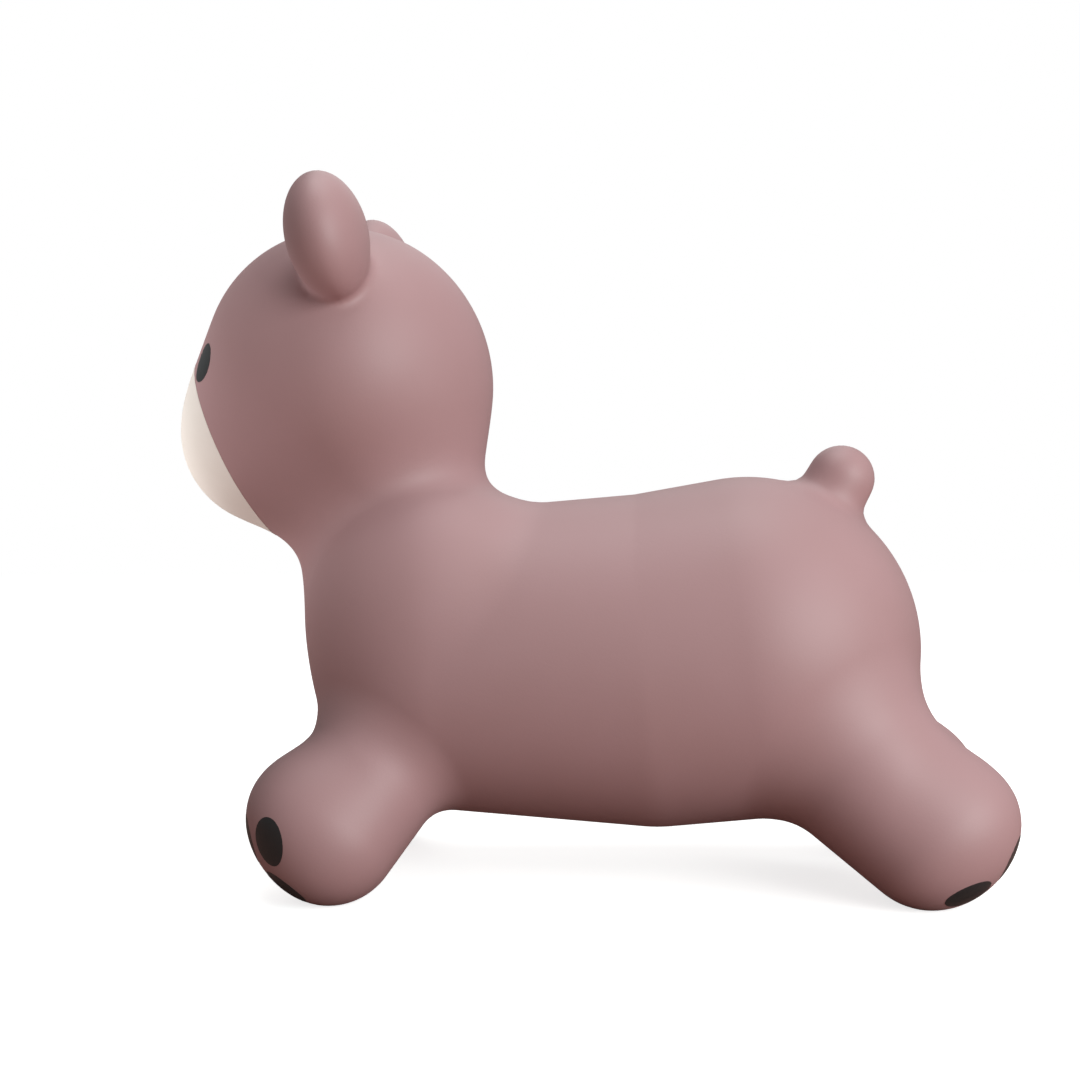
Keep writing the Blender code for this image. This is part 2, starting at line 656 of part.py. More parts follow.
def make_valve(torso):
    """A seat moulded into the belly's skin and the plug pushed into it. +Z of the profiles is out."""
    spot = cast(BELLY.centre, np.array([(0.0, 0.0, -1.0)]))
    outward = Vector(unit(skin_slope(spot)[0]))
    place = Matrix.Translation(spot[0]) @ outward.to_track_quat("Z", "Y").to_matrix().to_4x4()
    recess_radius = PLUG_HEAD_RADIUS + VALVE_CLEARANCE
    recess_depth = PLUG_HEAD_THICKNESS + VALVE_CLEARANCE
    belly_rise = BELLY_RADIUS - math.sqrt(BELLY_RADIUS**2 - VALVE_FLANGE_RADIUS**2)
    flange_top = WALL + belly_rise + VALVE_FLANGE_GAP
    flange_bottom = flange_top + VALVE_FLANGE_THICKNESS
    seat = [
        (recess_radius, 0),
        (VALVE_SEAT_RADIUS, 0),
        (VALVE_SEAT_RADIUS, -flange_top),
        (VALVE_FLANGE_RADIUS, -flange_top),
        (VALVE_FLANGE_RADIUS, -flange_bottom),
        (VALVE_SLEEVE_RADIUS, -flange_bottom),
        (VALVE_SLEEVE_RADIUS, -VALVE_SEAT_DEPTH),
        (VALVE_BORE_RADIUS, -VALVE_SEAT_DEPTH),
        (VALVE_BORE_RADIUS, -recess_depth),
        (recess_radius, -recess_depth),
    ]
    stem_radius = VALVE_BORE_RADIUS - VALVE_CLEARANCE
    stem_end = PLUG_HEAD_THICKNESS + PLUG_STEM_LENGTH
    plug = [
        (0, 0),
        (PLUG_HEAD_RADIUS, 0),
        (PLUG_HEAD_RADIUS, -PLUG_HEAD_THICKNESS),
        (stem_radius, -PLUG_HEAD_THICKNESS),
        (stem_radius, -stem_end + PLUG_TIP_CHAMFER),
        (stem_radius - PLUG_TIP_CHAMFER, -stem_end),
        (0, -stem_end),
    ]
    white = material("valve_plastic", VALVE_WHITE, VALVE_ROUGHNESS)
    add_object("valve_seat", turned_mesh(seat, place), white, spot[0])
    add_object("valve_plug", turned_mesh(plug, place), white, spot[0])
    hole_radius = VALVE_SEAT_RADIUS + VALVE_CLEARANCE
    past_wall = 3 * WALL
    hole = [(0, past_wall), (hole_radius, past_wall), (hole_radius, -past_wall), (0, -past_wall)]
    cutter = add_object("valve_hole", turned_mesh(hole, place), white)
    cutter.hide_render = True
    cutter.display_type = "WIRE"
    cut = torso.modifiers.new("valve_hole", "BOOLEAN")
    cut.object = cutter
    cut.operation = "DIFFERENCE"


def main():
    for old in list(bpy.data.objects):
        bpy.data.objects.remove(old)
    sections = make_skin(material("skin_vinyl", SKIN_PINK, SKIN_ROUGHNESS))
    make_paint({name: section.location.copy() for name, section in sections.items()})
    make_valve(sections["torso"])


main()
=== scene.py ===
"""Animal hopper: the looks of a hollow, air-filled bear that a child sits on and bounces.

Metres, +Z up, in the CAD model's frame: the bear looks along -X and its left side is at -Y. One smooth
skin is made from balls and limbs, and is split only where a joint starts to bend it; its pieces shade as
one, so that no split shows. Paint lies on it as thin films, and a valve sits in the belly.
"""

import math
from functools import cache
from typing import NamedTuple

import bmesh
import bpy
import numpy as np
from bpy.props import FloatProperty, FloatVectorProperty, IntProperty, PointerProperty
from mathutils import Matrix, Vector


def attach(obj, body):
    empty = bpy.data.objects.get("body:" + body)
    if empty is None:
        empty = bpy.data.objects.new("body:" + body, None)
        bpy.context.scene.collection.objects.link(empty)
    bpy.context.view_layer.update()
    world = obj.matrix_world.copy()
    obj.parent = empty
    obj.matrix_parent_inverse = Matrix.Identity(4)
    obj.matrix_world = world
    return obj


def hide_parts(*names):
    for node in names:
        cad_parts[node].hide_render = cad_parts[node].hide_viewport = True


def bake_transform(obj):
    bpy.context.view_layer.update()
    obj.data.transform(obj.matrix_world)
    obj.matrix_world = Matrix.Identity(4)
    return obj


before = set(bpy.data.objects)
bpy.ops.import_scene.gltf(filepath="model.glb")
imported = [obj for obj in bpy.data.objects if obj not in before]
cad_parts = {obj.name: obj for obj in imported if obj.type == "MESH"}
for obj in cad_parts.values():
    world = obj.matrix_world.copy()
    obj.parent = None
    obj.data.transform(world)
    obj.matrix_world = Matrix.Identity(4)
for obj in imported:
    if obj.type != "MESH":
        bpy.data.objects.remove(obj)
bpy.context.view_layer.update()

bl_info = {
    "name": "Animal hopper",
    "version": (1, 0, 0),
    "blender": (4, 5, 0),
    "location": "View3D > Sidebar > Hopper",
    "description": "Skin, paint, valve and studio of an air-filled bear to bounce on",
    "category": "Object",
}

LEFT = -1
RIGHT = 1
SIDES = {"left": LEFT, "right": RIGHT}

# Width of the rounding where two forms meet
SHOULDER_BLEND = 0.0225
NECK_BLEND = 0.0185
HEAD_BLEND = 0.036
MUZZLE_BLEND = 0.028
FRONT_LEG_BLEND = 0.0195
REAR_LEG_BLEND = 0.022
FRONT_TOE_BLEND = 0.020
REAR_TOE_BLEND = 0.040
TAIL_BLEND = 0.0205
EAR_BLEND = 0.009


def unit(vector):
    return np.asarray(vector) / np.linalg.norm(vector)


class Ball(NamedTuple):
    centre: np.ndarray
    radius: float

    def on(self, side):
        """The same ball on the left or the right of the bear."""
        return Ball(self.centre * (1, side, 1), self.radius)

    def next(self, offset, radius):
        """A ball at an offset from this one."""
        return Ball(self.centre + offset, radius)

    def rising(self, heading, rise, radius):
        """A ball whose centre lies along a heading, at a rise above this one's surface or below it."""
        return Ball(self.centre + unit(heading) * (self.radius + rise), radius)


def foot_below(hip, stride, radius, sole_depth=0.002):
    """A foot out from its hip, just deep enough in the floor to stand on a flat sole."""
    x, y = hip.centre[:2] + stride
    return Ball(np.array((x, y, radius - sole_depth)), radius)


# The form, with the CAD model's sizes
MUZZLE_HEADING = (-0.054, 0.0, -0.0465)
MUZZLE_RISE = -0.032
EAR_HEADING = (0.0083, 0.0975, 0.0833)
EAR_RISE = 0.0255
EAR_HALF_SIZE = np.array((0.0277, 0.0438, 0.0438))
EAR_LEAN = math.radians(11.0)
EAR_TURN = Matrix.Rotation(-EAR_LEAN, 3, "Y")
TAIL_HEADING = (0.068, 0.0, 0.122)
TAIL_RISE = 0.016
NECK_NARROWING = 0.74
CHEST = Ball(np.array((-0.0900, 0.0, 0.1585)), 0.1105)
BELLY = CHEST.next((0.143, 0.0, 0.0005), 0.1215)
RUMP = BELLY.next((0.0665, 0.0, 0.009), 0.124)
SHOULDER = CHEST.next((-0.0225, 0.0135, 0.0485), 0.0885)
HEAD = CHEST.next((-0.085, 0.0, 0.215), 0.103)
NECK_TOP = HEAD.next((0.014, 0.0, -0.028), 0.0855)
NECK_BASE = CHEST.next((-0.0445, 0.0, 0.053), 0.0625)
MUZZLE = HEAD.rising(MUZZLE_HEADING, MUZZLE_RISE, 0.0685)
EAR = HEAD.rising(EAR_HEADING, EAR_RISE, EAR_HALF_SIZE.max())
TAIL = RUMP.rising(TAIL_HEADING, TAIL_RISE, 0.024)
FRONT_HIP = CHEST.next((-0.0505, 0.052, -0.0645), 0.0515)
FRONT_FOOT = foot_below(FRONT_HIP, (-0.0305, 0.0365), 0.048)
FRONT_TOE = FRONT_FOOT.next((-0.017, 0.0, 0.016), 0.040)
REAR_HIP = RUMP.next((0.0615, 0.047, -0.0605), 0.063)
REAR_FOOT = foot_below(REAR_HIP, (0.0565, 0.0305), 0.0495)
REAR_TOE = REAR_FOOT.next((0.025, 0.0, 0.0155), 0.0285)

# Rings of skin that bend, one at the root of each limb
NECK_RING_FROM_HEAD = (0.039, 0.0, -0.106)
NECK_TILT = math.radians(22)
NECK_RING_WIDTH = 0.030
FRONT_RING_FROM_HIP = 0.034
REAR_RING_FROM_HIP = 0.046
LEG_RING_WIDTH = 0.016
EAR_RING_ABOVE_HEAD = 0.010
EAR_RING_WIDTH = 0.013
TAIL_RING_ABOVE_RUMP = 0.005
TAIL_RING_WIDTH = 0.008

# Bearing outward from straight ahead, elevation, and lean of its top to straight ahead, in degrees
FRONT_CLAWS = {"outer_claw": (50, 3, 0), "middle_claw": (15, -1, 0), "lower_claw": (42, -42, 25)}
REAR_CLAWS = {"outer_claw": (55, -41, 57), "middle_claw": (15, -13, 0), "inner_claw": (-25, -41, 57)}
EYE_BEARING = 29.5
EYE_ELEVATION = 1.5
NOSE_ELEVATION = 19.5

# The muzzle's paint ends on a plane through this point, tipped forward by this angle
MUZZLE_EDGE_FROM_MUZZLE = (-0.029, 0.0, -0.0055)
MUZZLE_EDGE_DROP = math.radians(23)
MUZZLE_RINGS = 48
MUZZLE_SIDES = 180

# The valve: depths are below the outside of the skin
FLANGE_RADIUS = 0.018
FLANGE_DEPTH = 0.005
FLANGE_THICKNESS = 0.0015
SEAT_NECK_RADIUS = 0.009
SEAT_DEPTH = 0.016
PLUG_HEAD_THICKNESS = 0.002
PLUG_DEPTH = 0.015
PLUG_TIP_CHAMFER = 0.0015
DIMPLE_FLOOR_RADIUS = 0.0035
DIMPLE_RIM_RADIUS = 0.0042
DIMPLE_DEPTH = 0.0008
VALVE_ROUNDING = 0.0005
VALVE_SIDES = 96

# The skin's net: rounds of evening out, and how near a cut its points snap to it, in net spacings
EVENING_ROUNDS = 5
SOLE_SNAP = 1 / 16
CUT_SNAP = 1 / 8

# Points closer than this become one
MERGE_DISTANCE = 1e-6

# Edges that bend by more than these are drawn sharp
TURNED_EDGE = math.radians(30)
FILM_EDGE = math.radians(40)

# Widths of the patterns in paint and plastic
SPRAY_PATCH = 0.015
ORANGE_PEEL = 0.002
FLOW_MARK = 0.005

# Light: strengths, then the lamps' tint, width and spread, places, and aim
WHITE = (1, 1, 1, 1)
FLOOR_GLOW = 0.75
WORLD_FILL = 0.26
LAMP_TINT = (0.93, 1.0, 1.0)
SOFT_LAMP = (1.5, math.radians(180))
FACE_LAMP = (0.12, math.radians(40))
KEY_PLACE = (1.50, -1.50, 0.79)
TOP_PLACE = (0.0, 0.0, 2.42)
BACK_PLACE = (0.0, 1.56, 1.78)
FACE_PLACE = (-0.85, -0.03, 0.23)
TRUNK_AIM = (0.0, 0.0, 0.22)

# The camera turns about a pivot in the bear, and looks at it from this distance
CAMERA_LENS = 52.0
CAMERA_SENSOR = 36.0
CAMERA_PIVOT = (-0.0314, 0.0, 0.2466)
CAMERA_DISTANCE = 1.150
CAMERA_YAW = math.radians(4.705)
CAMERA_PITCH = math.radians(-1.907)
CAMERA_ROLL = math.radians(-0.395)


class Limb(NamedTuple):
    """A limb at a joint: its skin is split from its parent's at start, and end lies across its ring."""

    name: str
    parent: str
    child: str
    nodes: tuple
    start: Vector
    end: Vector
    tip: np.ndarray
    reach: float


def ball_distance(points, ball):
    return np.linalg.norm(points - ball.centre, axis=-1) - ball.radius


def limb_distance(points, first, second):
    """Distance to two balls and the cone that wraps them, negative inside."""
    along = second.centre - first.centre
    length = np.linalg.norm(along)
    along = along / length
    slope = (first.radius - second.radius) / length
    rise = math.sqrt(1 - slope * slope)
    offset = points - first.centre
    height = offset @ along
    out = np.linalg.norm(offset - height[..., None] * along, axis=-1)
    lean = height * rise - out * slope
    beside = out * rise + height * slope - first.radius
    below = np.hypot(out, height) - first.radius
    above = np.hypot(out, height - length) - second.radius
    return np.where(lean < 0, below, np.where(lean > length * rise, above, beside))


def blended(first, second, width):
    """The lesser of two distances, rounded over where they are within width of each other."""
    near = np.maximum(width - np.abs(first - second), 0) / width
    return np.minimum(first, second) - near * near * width / 4


def leg_distance(points, hip, foot, toe, toe_blend):
    return blended(limb_distance(points, hip, foot), ball_distance(points, toe), toe_blend)


def neck_distance(points):
    """The neck is a limb squeezed from side to side, so its points are stretched by as much."""
    return limb_distance(points * (1, 1 / NECK_NARROWING, 1), NECK_BASE, NECK_TOP)


def ear_distance(points, side):
    """Distance to an ear, a flattened ball that leans forward; exact only close to its surface."""
    offset = (points - EAR.on(side).centre) @ np.array(EAR_TURN)
    share = np.linalg.norm(offset / EAR_HALF_SIZE, axis=-1)
    slope = np.linalg.norm(offset / EAR_HALF_SIZE**2, axis=-1)
    return share * (share - 1) / np.maximum(slope, 1e-9)


def skin_distance(points):
    """Distance from the outside of the skin, negative inside the bear."""
    trunk = np.minimum(limb_distance(points, CHEST, BELLY), limb_distance(points, BELLY, RUMP))
    shoulders = limb_distance(points, SHOULDER.on(LEFT), SHOULDER.on(RIGHT))
    trunk = blended(trunk, shoulders, SHOULDER_BLEND)
    skin = blended(trunk, neck_distance(points), NECK_BLEND)
    head = blended(ball_distance(points, HEAD), ball_distance(points, MUZZLE), MUZZLE_BLEND)
    skin = blended(skin, head, HEAD_BLEND)
    for side in SIDES.values():
        front = [ball.on(side) for ball in (FRONT_HIP, FRONT_FOOT, FRONT_TOE)]
        rear = [ball.on(side) for ball in (REAR_HIP, REAR_FOOT, REAR_TOE)]
        skin = blended(skin, leg_distance(points, *front, FRONT_TOE_BLEND), FRONT_LEG_BLEND)
        skin = blended(skin, leg_distance(points, *rear, REAR_TOE_BLEND), REAR_LEG_BLEND)
        skin = blended(skin, ear_distance(points, side), EAR_BLEND)
    return blended(skin, ball_distance(points, TAIL), TAIL_BLEND)


def skin_slope(points):
    """Gradient of the distance, by central differences."""
    step = 0.0002
    slopes = [
        (skin_distance(points + shift) - skin_distance(points - shift)) / (2 * step)
        for shift in np.eye(3) * step
    ]
    return np.stack(slopes, axis=-1)


def skin_normal(points):
    slope = skin_slope(points)
    return slope / np.linalg.norm(slope, axis=-1)[..., None]


def settled(points, plane_normal=(0.0, 0.0, 0.0), steps=5):
    """The points moved along the slope, or within a plane, until they lie on the skin."""
    normal = np.array(plane_normal)
    for _ in range(steps):
        slope = skin_slope(points)
        slope = slope - (slope @ normal)[..., None] * normal
        rate = skin_distance(points) / np.maximum((slope * slope).sum(axis=-1), 0.01)
        points = points - slope * rate[..., None]
    return points


def cast(origin, aims, level, steps=40):
    """Where rays from a point inside the bear reach the given distance from the skin."""
    near = np.zeros(aims.shape[:-1])
    far = np.full(aims.shape[:-1], HEAD.radius + MUZZLE.radius)
    for _ in range(steps):
        middle = (near + far) / 2
        inside = skin_distance(origin + aims * middle[..., None]) < level
        near = np.where(inside, middle, near)
        far = np.where(inside, far, middle)
    return origin + aims * near[..., None]


def ring(limb, parent, child, nodes, start, axis, width, tip, radius, margin=0.020):
    """A limb whose skin is split where a ring starts at a point; the ring is as wide as its CAD node."""
    start = Vector(start)
    end = start + Vector(axis) * width
    return Limb(limb, parent, child, nodes, start, end, tip, radius + margin)


def leg(name, side, hip, foot, toe, ring_from_hip):
    hip, foot, toe = (ball.on(side) for ball in (hip, foot, toe))
    body = f"{name}_leg"
    axis = unit(foot.centre - hip.centre)
    start = hip.centre + ring_from_hip * axis
    nodes = (body, f"{name}_hip")
    return ring(
        f"{body}_skin", "trunk", body, nodes, start, axis, LEG_RING_WIDTH, toe.centre, hip.radius
    )


def limbs():
    """All limbs that bend, in the order in which they are cut from the skin."""
    for name, side in SIDES.items():
        body = f"{name}_ear"
        axis = unit(EAR_HEADING) * (1, side, 1)
        start = HEAD.centre + axis * (HEAD.radius + EAR_RING_ABOVE_HEAD)
        tip = EAR.on(side).centre + axis * EAR.radius
        nodes = (body, f"{body}_root")
        yield ring(f"{body}_skin", "head", body, nodes, start, axis, EAR_RING_WIDTH, tip, EAR.radius)
    axis = np.array((-math.sin(NECK_TILT), 0, math.cos(NECK_TILT)))
    start = HEAD.centre + NECK_RING_FROM_HEAD - axis * (NECK_RING_WIDTH / 2)
    tip = MUZZLE.centre
    nodes = ("head", "neck")
    yield ring("head_skin", "trunk", "head", nodes, start, axis, NECK_RING_WIDTH, tip, NECK_TOP.radius)
    for name, side in SIDES.items():
        yield leg(f"{name}_front", side, FRONT_HIP, FRONT_FOOT, FRONT_TOE, FRONT_RING_FROM_HIP)
        yield leg(f"{name}_rear", side, REAR_HIP, REAR_FOOT, REAR_TOE, REAR_RING_FROM_HIP)
    axis = unit(TAIL_HEADING)
    start = RUMP.centre + axis * (RUMP.radius + TAIL_RING_ABOVE_RUMP)
    tip = TAIL.centre + axis * TAIL.radius
    nodes = ("tail", "tail_root")
    yield ring("tail_skin", "trunk", "tail", nodes, start, axis, TAIL_RING_WIDTH, tip, TAIL.radius)


def rough_limb(bm, first, second, widening=1.0, balls=6):
    """Balls along a limb, as raw material for the skin."""
    for share in np.linspace(0, 1, balls):
        centre = first.centre + (second.centre - first.centre) * share
        radius = first.radius + (second.radius - first.radius) * share
        place = Matrix.Translation(centre) @ Matrix.Diagonal((1, widening, 1, 1))
        bmesh.ops.create_icosphere(bm, subdivisions=3, radius=radius, matrix=place)


def rough_net(spacing):
    """One even net of quads round all the limbs, before it is settled on the skin."""
    bm = bmesh.new()
    for pair in ((CHEST, BELLY), (BELLY, RUMP), (HEAD, MUZZLE), (TAIL, RUMP)):
        rough_limb(bm, *pair)
    rough_limb(bm, SHOULDER.on(LEFT), SHOULDER.on(RIGHT))
    rough_limb(bm, NECK_BASE, NECK_TOP, NECK_NARROWING)
    for side in SIDES.values():
        for hip, foot, toe in ((FRONT_HIP, FRONT_FOOT, FRONT_TOE), (REAR_HIP, REAR_FOOT, REAR_TOE)):
            rough_limb(bm, hip.on(side), foot.on(side))
            rough_limb(bm, foot.on(side), toe.on(side))
        ear = Matrix.LocRotScale(EAR.on(side).centre, EAR_TURN, EAR_HALF_SIZE)
        bmesh.ops.create_icosphere(bm, subdivisions=4, radius=1, matrix=ear)
    mesh = bpy.data.meshes.new("rough_skin")
    bm.to_mesh(mesh)
    bm.free()
    holder = add_object("rough_skin", mesh)
    remesh = holder.modifiers.new("even_net", "REMESH")
    remesh.mode = "VOXEL"
    remesh.voxel_size = spacing
    return evaluated_mesh(holder)


def add_object(name, data):
    """An object in the scene, with a mesh, a lamp or a camera as its data."""
    made = bpy.data.objects.new(name, data)
    bpy.context.scene.collection.objects.link(made)
    return made


def evaluated_mesh(holder):
    """The mesh that an object's modifiers make, as a plain mesh; the object itself is removed."""
    bpy.context.view_layer.update()
    seen = holder.evaluated_get(bpy.context.evaluated_depsgraph_get())
    mesh = bpy.data.meshes.new_from_object(seen)
    bpy.data.objects.remove(holder)
    return mesh


def settle_net(verts, plane_normal=(0.0, 0.0, 0.0)):
    spots = settled(np.array([vert.co[:] for vert in verts]), plane_normal)
    for vert, spot in zip(verts, spots):
        vert.co = spot


def verts_of(parts):
    """The points of some edges or faces, each once and always in the same order."""
    return list(dict.fromkeys(vert for part in parts for vert in part.verts))


def edges_in(found):
    return [part for part in found["geom_cut"] if isinstance(part, bmesh.types.BMEdge)]


def flatten_soles(bm, snap):
    """Cuts the feet off at the floor and closes each with a flat sole."""
    for vert in bm.verts:
        if abs(vert.co.z) < snap:
            vert.co.z = 0
    every_part = bm.verts[:] + bm.edges[:] + bm.faces[:]
    floor = {"plane_co": (0, 0, 0), "plane_no": (0, 0, 1)}
    found = bmesh.ops.bisect_plane(bm, geom=every_part, dist=MERGE_DISTANCE, clear_inner=True, **floor)
    edges = edges_in(found)
    settle_net(verts_of(edges), (0, 0, 1))
    bmesh.ops.holes_fill(bm, edges=edges)


@cache
def skin_net(spacing):
    """Points and faces of the closed outside of the bear."""
    bm = bmesh.new()
    bm.from_mesh(rough_net(spacing))
    settle_net(bm.verts)
    for _ in range(EVENING_ROUNDS):
        bmesh.ops.smooth_vert(
            bm, verts=bm.verts, factor=0.5, use_axis_x=True, use_axis_y=True, use_axis_z=True
        )
        settle_net(bm.verts)
    flatten_soles(bm, spacing * SOLE_SNAP)
    bm.verts.index_update()
    points = [vert.co[:] for vert in bm.verts]
    faces = [[vert.index for vert in face.verts] for face in bm.faces]
    bm.free()
    return points, faces


def mesh_from(points, faces):
    mesh = bpy.data.meshes.new("mesh")
    mesh.from_pydata([tuple(point) for point in points], [], faces)
    return mesh


def nearest_loop(edges, point):
    """The run of joined edges whose points lie nearest to a point on average."""
    left = dict.fromkeys(edges)
    loops = []
    while left:
        loop = [left.popitem()[0]]
        for edge in loop:
            for other in [other for vert in edge.verts for other in vert.link_edges]:
                if other in left:
                    del left[other]
                    loop.append(other)
        loops.append(loop)
    return min(loops, key=lambda loop: np.mean([(edge.verts[0].co - point).length for edge in loop]))


def cut_off(bm, limb, snap):
    """Opens the skin where a limb starts to bend, after points close to the cut are drawn onto it."""
    normal = (limb.end - limb.start).normalized()
    start, reach = limb.start, limb.reach
    faces = [face for face in bm.faces if (face.calc_center_median() - start).length < reach]
    verts = verts_of(faces)
    edges = list(dict.fromkeys(edge for face in faces for edge in face.edges))
    for vert in verts:
        height = (vert.co - start).dot(normal)
        if abs(height) < snap:
            vert.co -= normal * height
    found = bmesh.ops.bisect_plane(
        bm, geom=verts + edges + faces, dist=MERGE_DISTANCE, plane_co=start, plane_no=normal
    )
    cut = nearest_loop(edges_in(found), start)
    settle_net(verts_of(cut), normal)
    bmesh.ops.split_edges(bm, edges=cut)


def take_section(bm, spot):
    """Removes and returns the whole section that holds the face nearest to a spot."""
    first = min(bm.faces, key=lambda face: (face.calc_center_median() - Vector(spot)).length)
    section = {first: None}
    waiting = [first]
    while waiting:
        for edge in waiting.pop().edges:
            new = [face for face in edge.link_faces if face not in section]
            section.update(dict.fromkeys(new))
            waiting.extend(new)
    verts = verts_of(section)
    place = {vert: index for index, vert in enumerate(verts)}
    points = np.array([vert.co[:] for vert in verts])
    faces = [[place[vert] for vert in face.verts] for face in section]
    bmesh.ops.delete(bm, geom=list(section), context="FACES")
    return points, faces


def border_of(faces):
    """Directed edges that belong to one face only."""
    edges = dict.fromkeys((a, b) for face in faces for a, b in zip(face, face[1:] + face[:1]))
    return [(a, b) for a, b in edges if (b, a) not in edges]


def closed_faces(faces, count):
    """The faces, the same ones turned to the back on points that follow count later, and a rim."""
    backs = [[index + count for index in reversed(face)] for face in faces]
    rim = [[b, a, a + count, b + count] for a, b in border_of(faces)]
    return faces + backs + rim


def walled_mesh(points, faces, wall):
    """A section with its wall. An attribute tells the outside, 1, from the inside, -1."""
    inside = points - wall * skin_normal(points)
    mesh = mesh_from([*points, *inside], closed_faces(faces, len(points)))
    side = mesh.attributes.new("wall_side", "FLOAT", "POINT")
    side.data.foreach_set("value", np.repeat((1.0, -1.0), len(points)))
    return mesh


def shade_as_skin(mesh):
    """Gives the wall's two sides the true normals of the skin, so that its sections shade as one.

    A rim joins the two sides, and a sole lies on the floor: both keep their flat normals."""
    verts, corners, faces = len(mesh.vertices), len(mesh.loops), len(mesh.polygons)
    points = np.empty(verts * 3)
    side = np.empty(verts)
    corner_vert = np.empty(corners, int)
    face_size = np.empty(faces, int)
    face_normal = np.empty(faces * 3)
    mesh.vertices.foreach_get("co", points)
    mesh.attributes["wall_side"].data.foreach_get("value", side)
    mesh.loops.foreach_get("vertex_index", corner_vert)
    mesh.polygons.foreach_get("loop_total", face_size)
    mesh.polygons.foreach_get("normal", face_normal)
    points = points.reshape(-1, 3)
    face_of = np.repeat(np.arange(faces), face_size)
    mean_side = np.bincount(face_of, side[corner_vert]) / face_size
    top = np.full(faces, -1.0)
    np.maximum.at(top, face_of, points[corner_vert, 2])
    curved = (np.abs(mean_side) > 0.999) & (top > 1e-5)
    skin = skin_normal(points)[corner_vert] * np.sign(mean_side)[face_of][:, None]
    flat = face_normal.reshape(-1, 3)[face_of]
    mesh.shade_smooth()
    mesh.normals_split_custom_set(np.where(curved[face_of][:, None], skin, flat))
    mesh.attributes.remove(mesh.attributes["wall_side"])


def turned_mesh(profile, place, sides):
    """A profile of (radius, height) points, closed on itself or on the axis, turned about Z."""
    bm = bmesh.new()
    verts = [bm.verts.new((radius, 0, height)) for radius, height in profile]
    edges = [bm.edges.new(pair) for pair in zip(verts, verts[1:])]
    if profile[0][0] > 0:
        edges.append(bm.edges.new((verts[-1], verts[0])))
    bmesh.ops.spin(bm, geom=verts + edges, axis=(0, 0, 1), cent=(0, 0, 0), angle=math.tau, steps=sides)
    bmesh.ops.remove_doubles(bm, verts=bm.verts, dist=MERGE_DISTANCE)
    bmesh.ops.recalc_face_normals(bm, faces=bm.faces)
    bmesh.ops.transform(bm, matrix=place, verts=bm.verts)
    mesh = bpy.data.meshes.new("turned")
    bm.to_mesh(mesh)
    bm.free()
    mesh.shade_smooth()
    mesh.set_sharp_from_angle(angle=TURNED_EDGE)
    return mesh


def rounded(profile, radius, steps=4, most_of_arm=0.45):
    """A turned profile with each corner off the axis rounded, as far as its two arms have room."""
    made = []
    for before, here, after in zip(profile[-1:] + profile[:-1], profile, profile[1:] + profile[:1]):
        here = Vector(here)
        if here.x == 0:
            made.append(here[:])
            continue
        arms = [Vector(end) - here for end in (before, after)]
        cut = min(radius, *(most_of_arm * arm.length for arm in arms))
        first, last = (here + arm.normalized() * cut for arm in arms)
        for share in np.linspace(0, 1, steps + 1):
            rest = 1 - share
            made.append((first * rest**2 + here * 2 * share * rest + last * share**2)[:])
    return made


def linear(code):
    """Linear red, green and blue from an sRGB hex code."""
    parts = [int(code[i : i + 2], 16) / 255 for i in (1, 3, 5)]
    return tuple(p / 12.92 if p <= 0.04045 else ((p + 0.055) / 1.055) ** 2.4 for p in parts)


def add_node(tree, kind, inputs=(), **settings):
    """Adds a node, sets its properties, and gives each named input a value or a link."""
    node = tree.nodes.new(kind)
    for name, value in settings.items():
        setattr(node, name, value)
    for name, value in dict(inputs).items():
        if isinstance(value, bpy.types.NodeSocket):
            tree.links.new(value, node.inputs[name])
        else:
            node.inputs[name].default_value = value
    return node


def new_material(name):
    """An empty material, its tree and its output node."""
    made = bpy.data.materials.new(name)
    made.use_nodes = True
    made.node_tree.nodes.clear()
    return made, made.node_tree, made.node_tree.nodes.new("ShaderNodeOutputMaterial")


@cache
def soft_pvc():
    """Plasticised PVC, rotation-moulded in a matte mould: broad dull highlights that pale at grazing
    angles, a fine pebbled grain, and pigment that drifts a little from patch to patch."""
    sizes = bpy.context.scene.hopper.skin
    made, tree, output = new_material("soft_pvc_rotation_moulded")
    place = add_node(tree, "ShaderNodeTexCoord").outputs["Object"]
    drift = add_node(
        tree,
        "ShaderNodeTexNoise",
        {"Vector": place, "Scale": 1 / sizes.drift, "Detail": 2.0, "Roughness": 0.5},
    )
    colour = add_node(
        tree,
        "ShaderNodeMix",
        {"Factor": drift.outputs["Fac"], "A": (*sizes.colour, 1), "B": (*sizes.drift_colour, 1)},
        data_type="RGBA",
    )
    # The mould's grain is about 0.4 mm; it is drawn coarser, or the render would average it away
    grain = add_node(
        tree,
        "ShaderNodeTexNoise",
        {"Vector": place, "Scale": 1 / sizes.grain, "Detail": 1.0, "Roughness": 0.6},
    )
    rough = add_node(
        tree,
        "ShaderNodeMapRange",
        {"Value": drift.outputs["Fac"], "From Min": 0.3, "From Max": 0.7, "To Min": 0.50, "To Max": 0.58},
    )
    bump = add_node(
        tree, "ShaderNodeBump", {"Strength": 0.12, "Distance": 0.0004, "Height": grain.outputs["Fac"]}
    )
    shader = add_node(
        tree,
        "ShaderNodeBsdfPrincipled",
        {
            "Base Color": colour.outputs["Result"],
            "Roughness": rough.outputs["Result"],
            "Normal": bump.outputs["Normal"],
            "IOR": 1.53,
        },
    )
    tree.links.new(shader.outputs["BSDF"], output.inputs["Surface"])
    return made


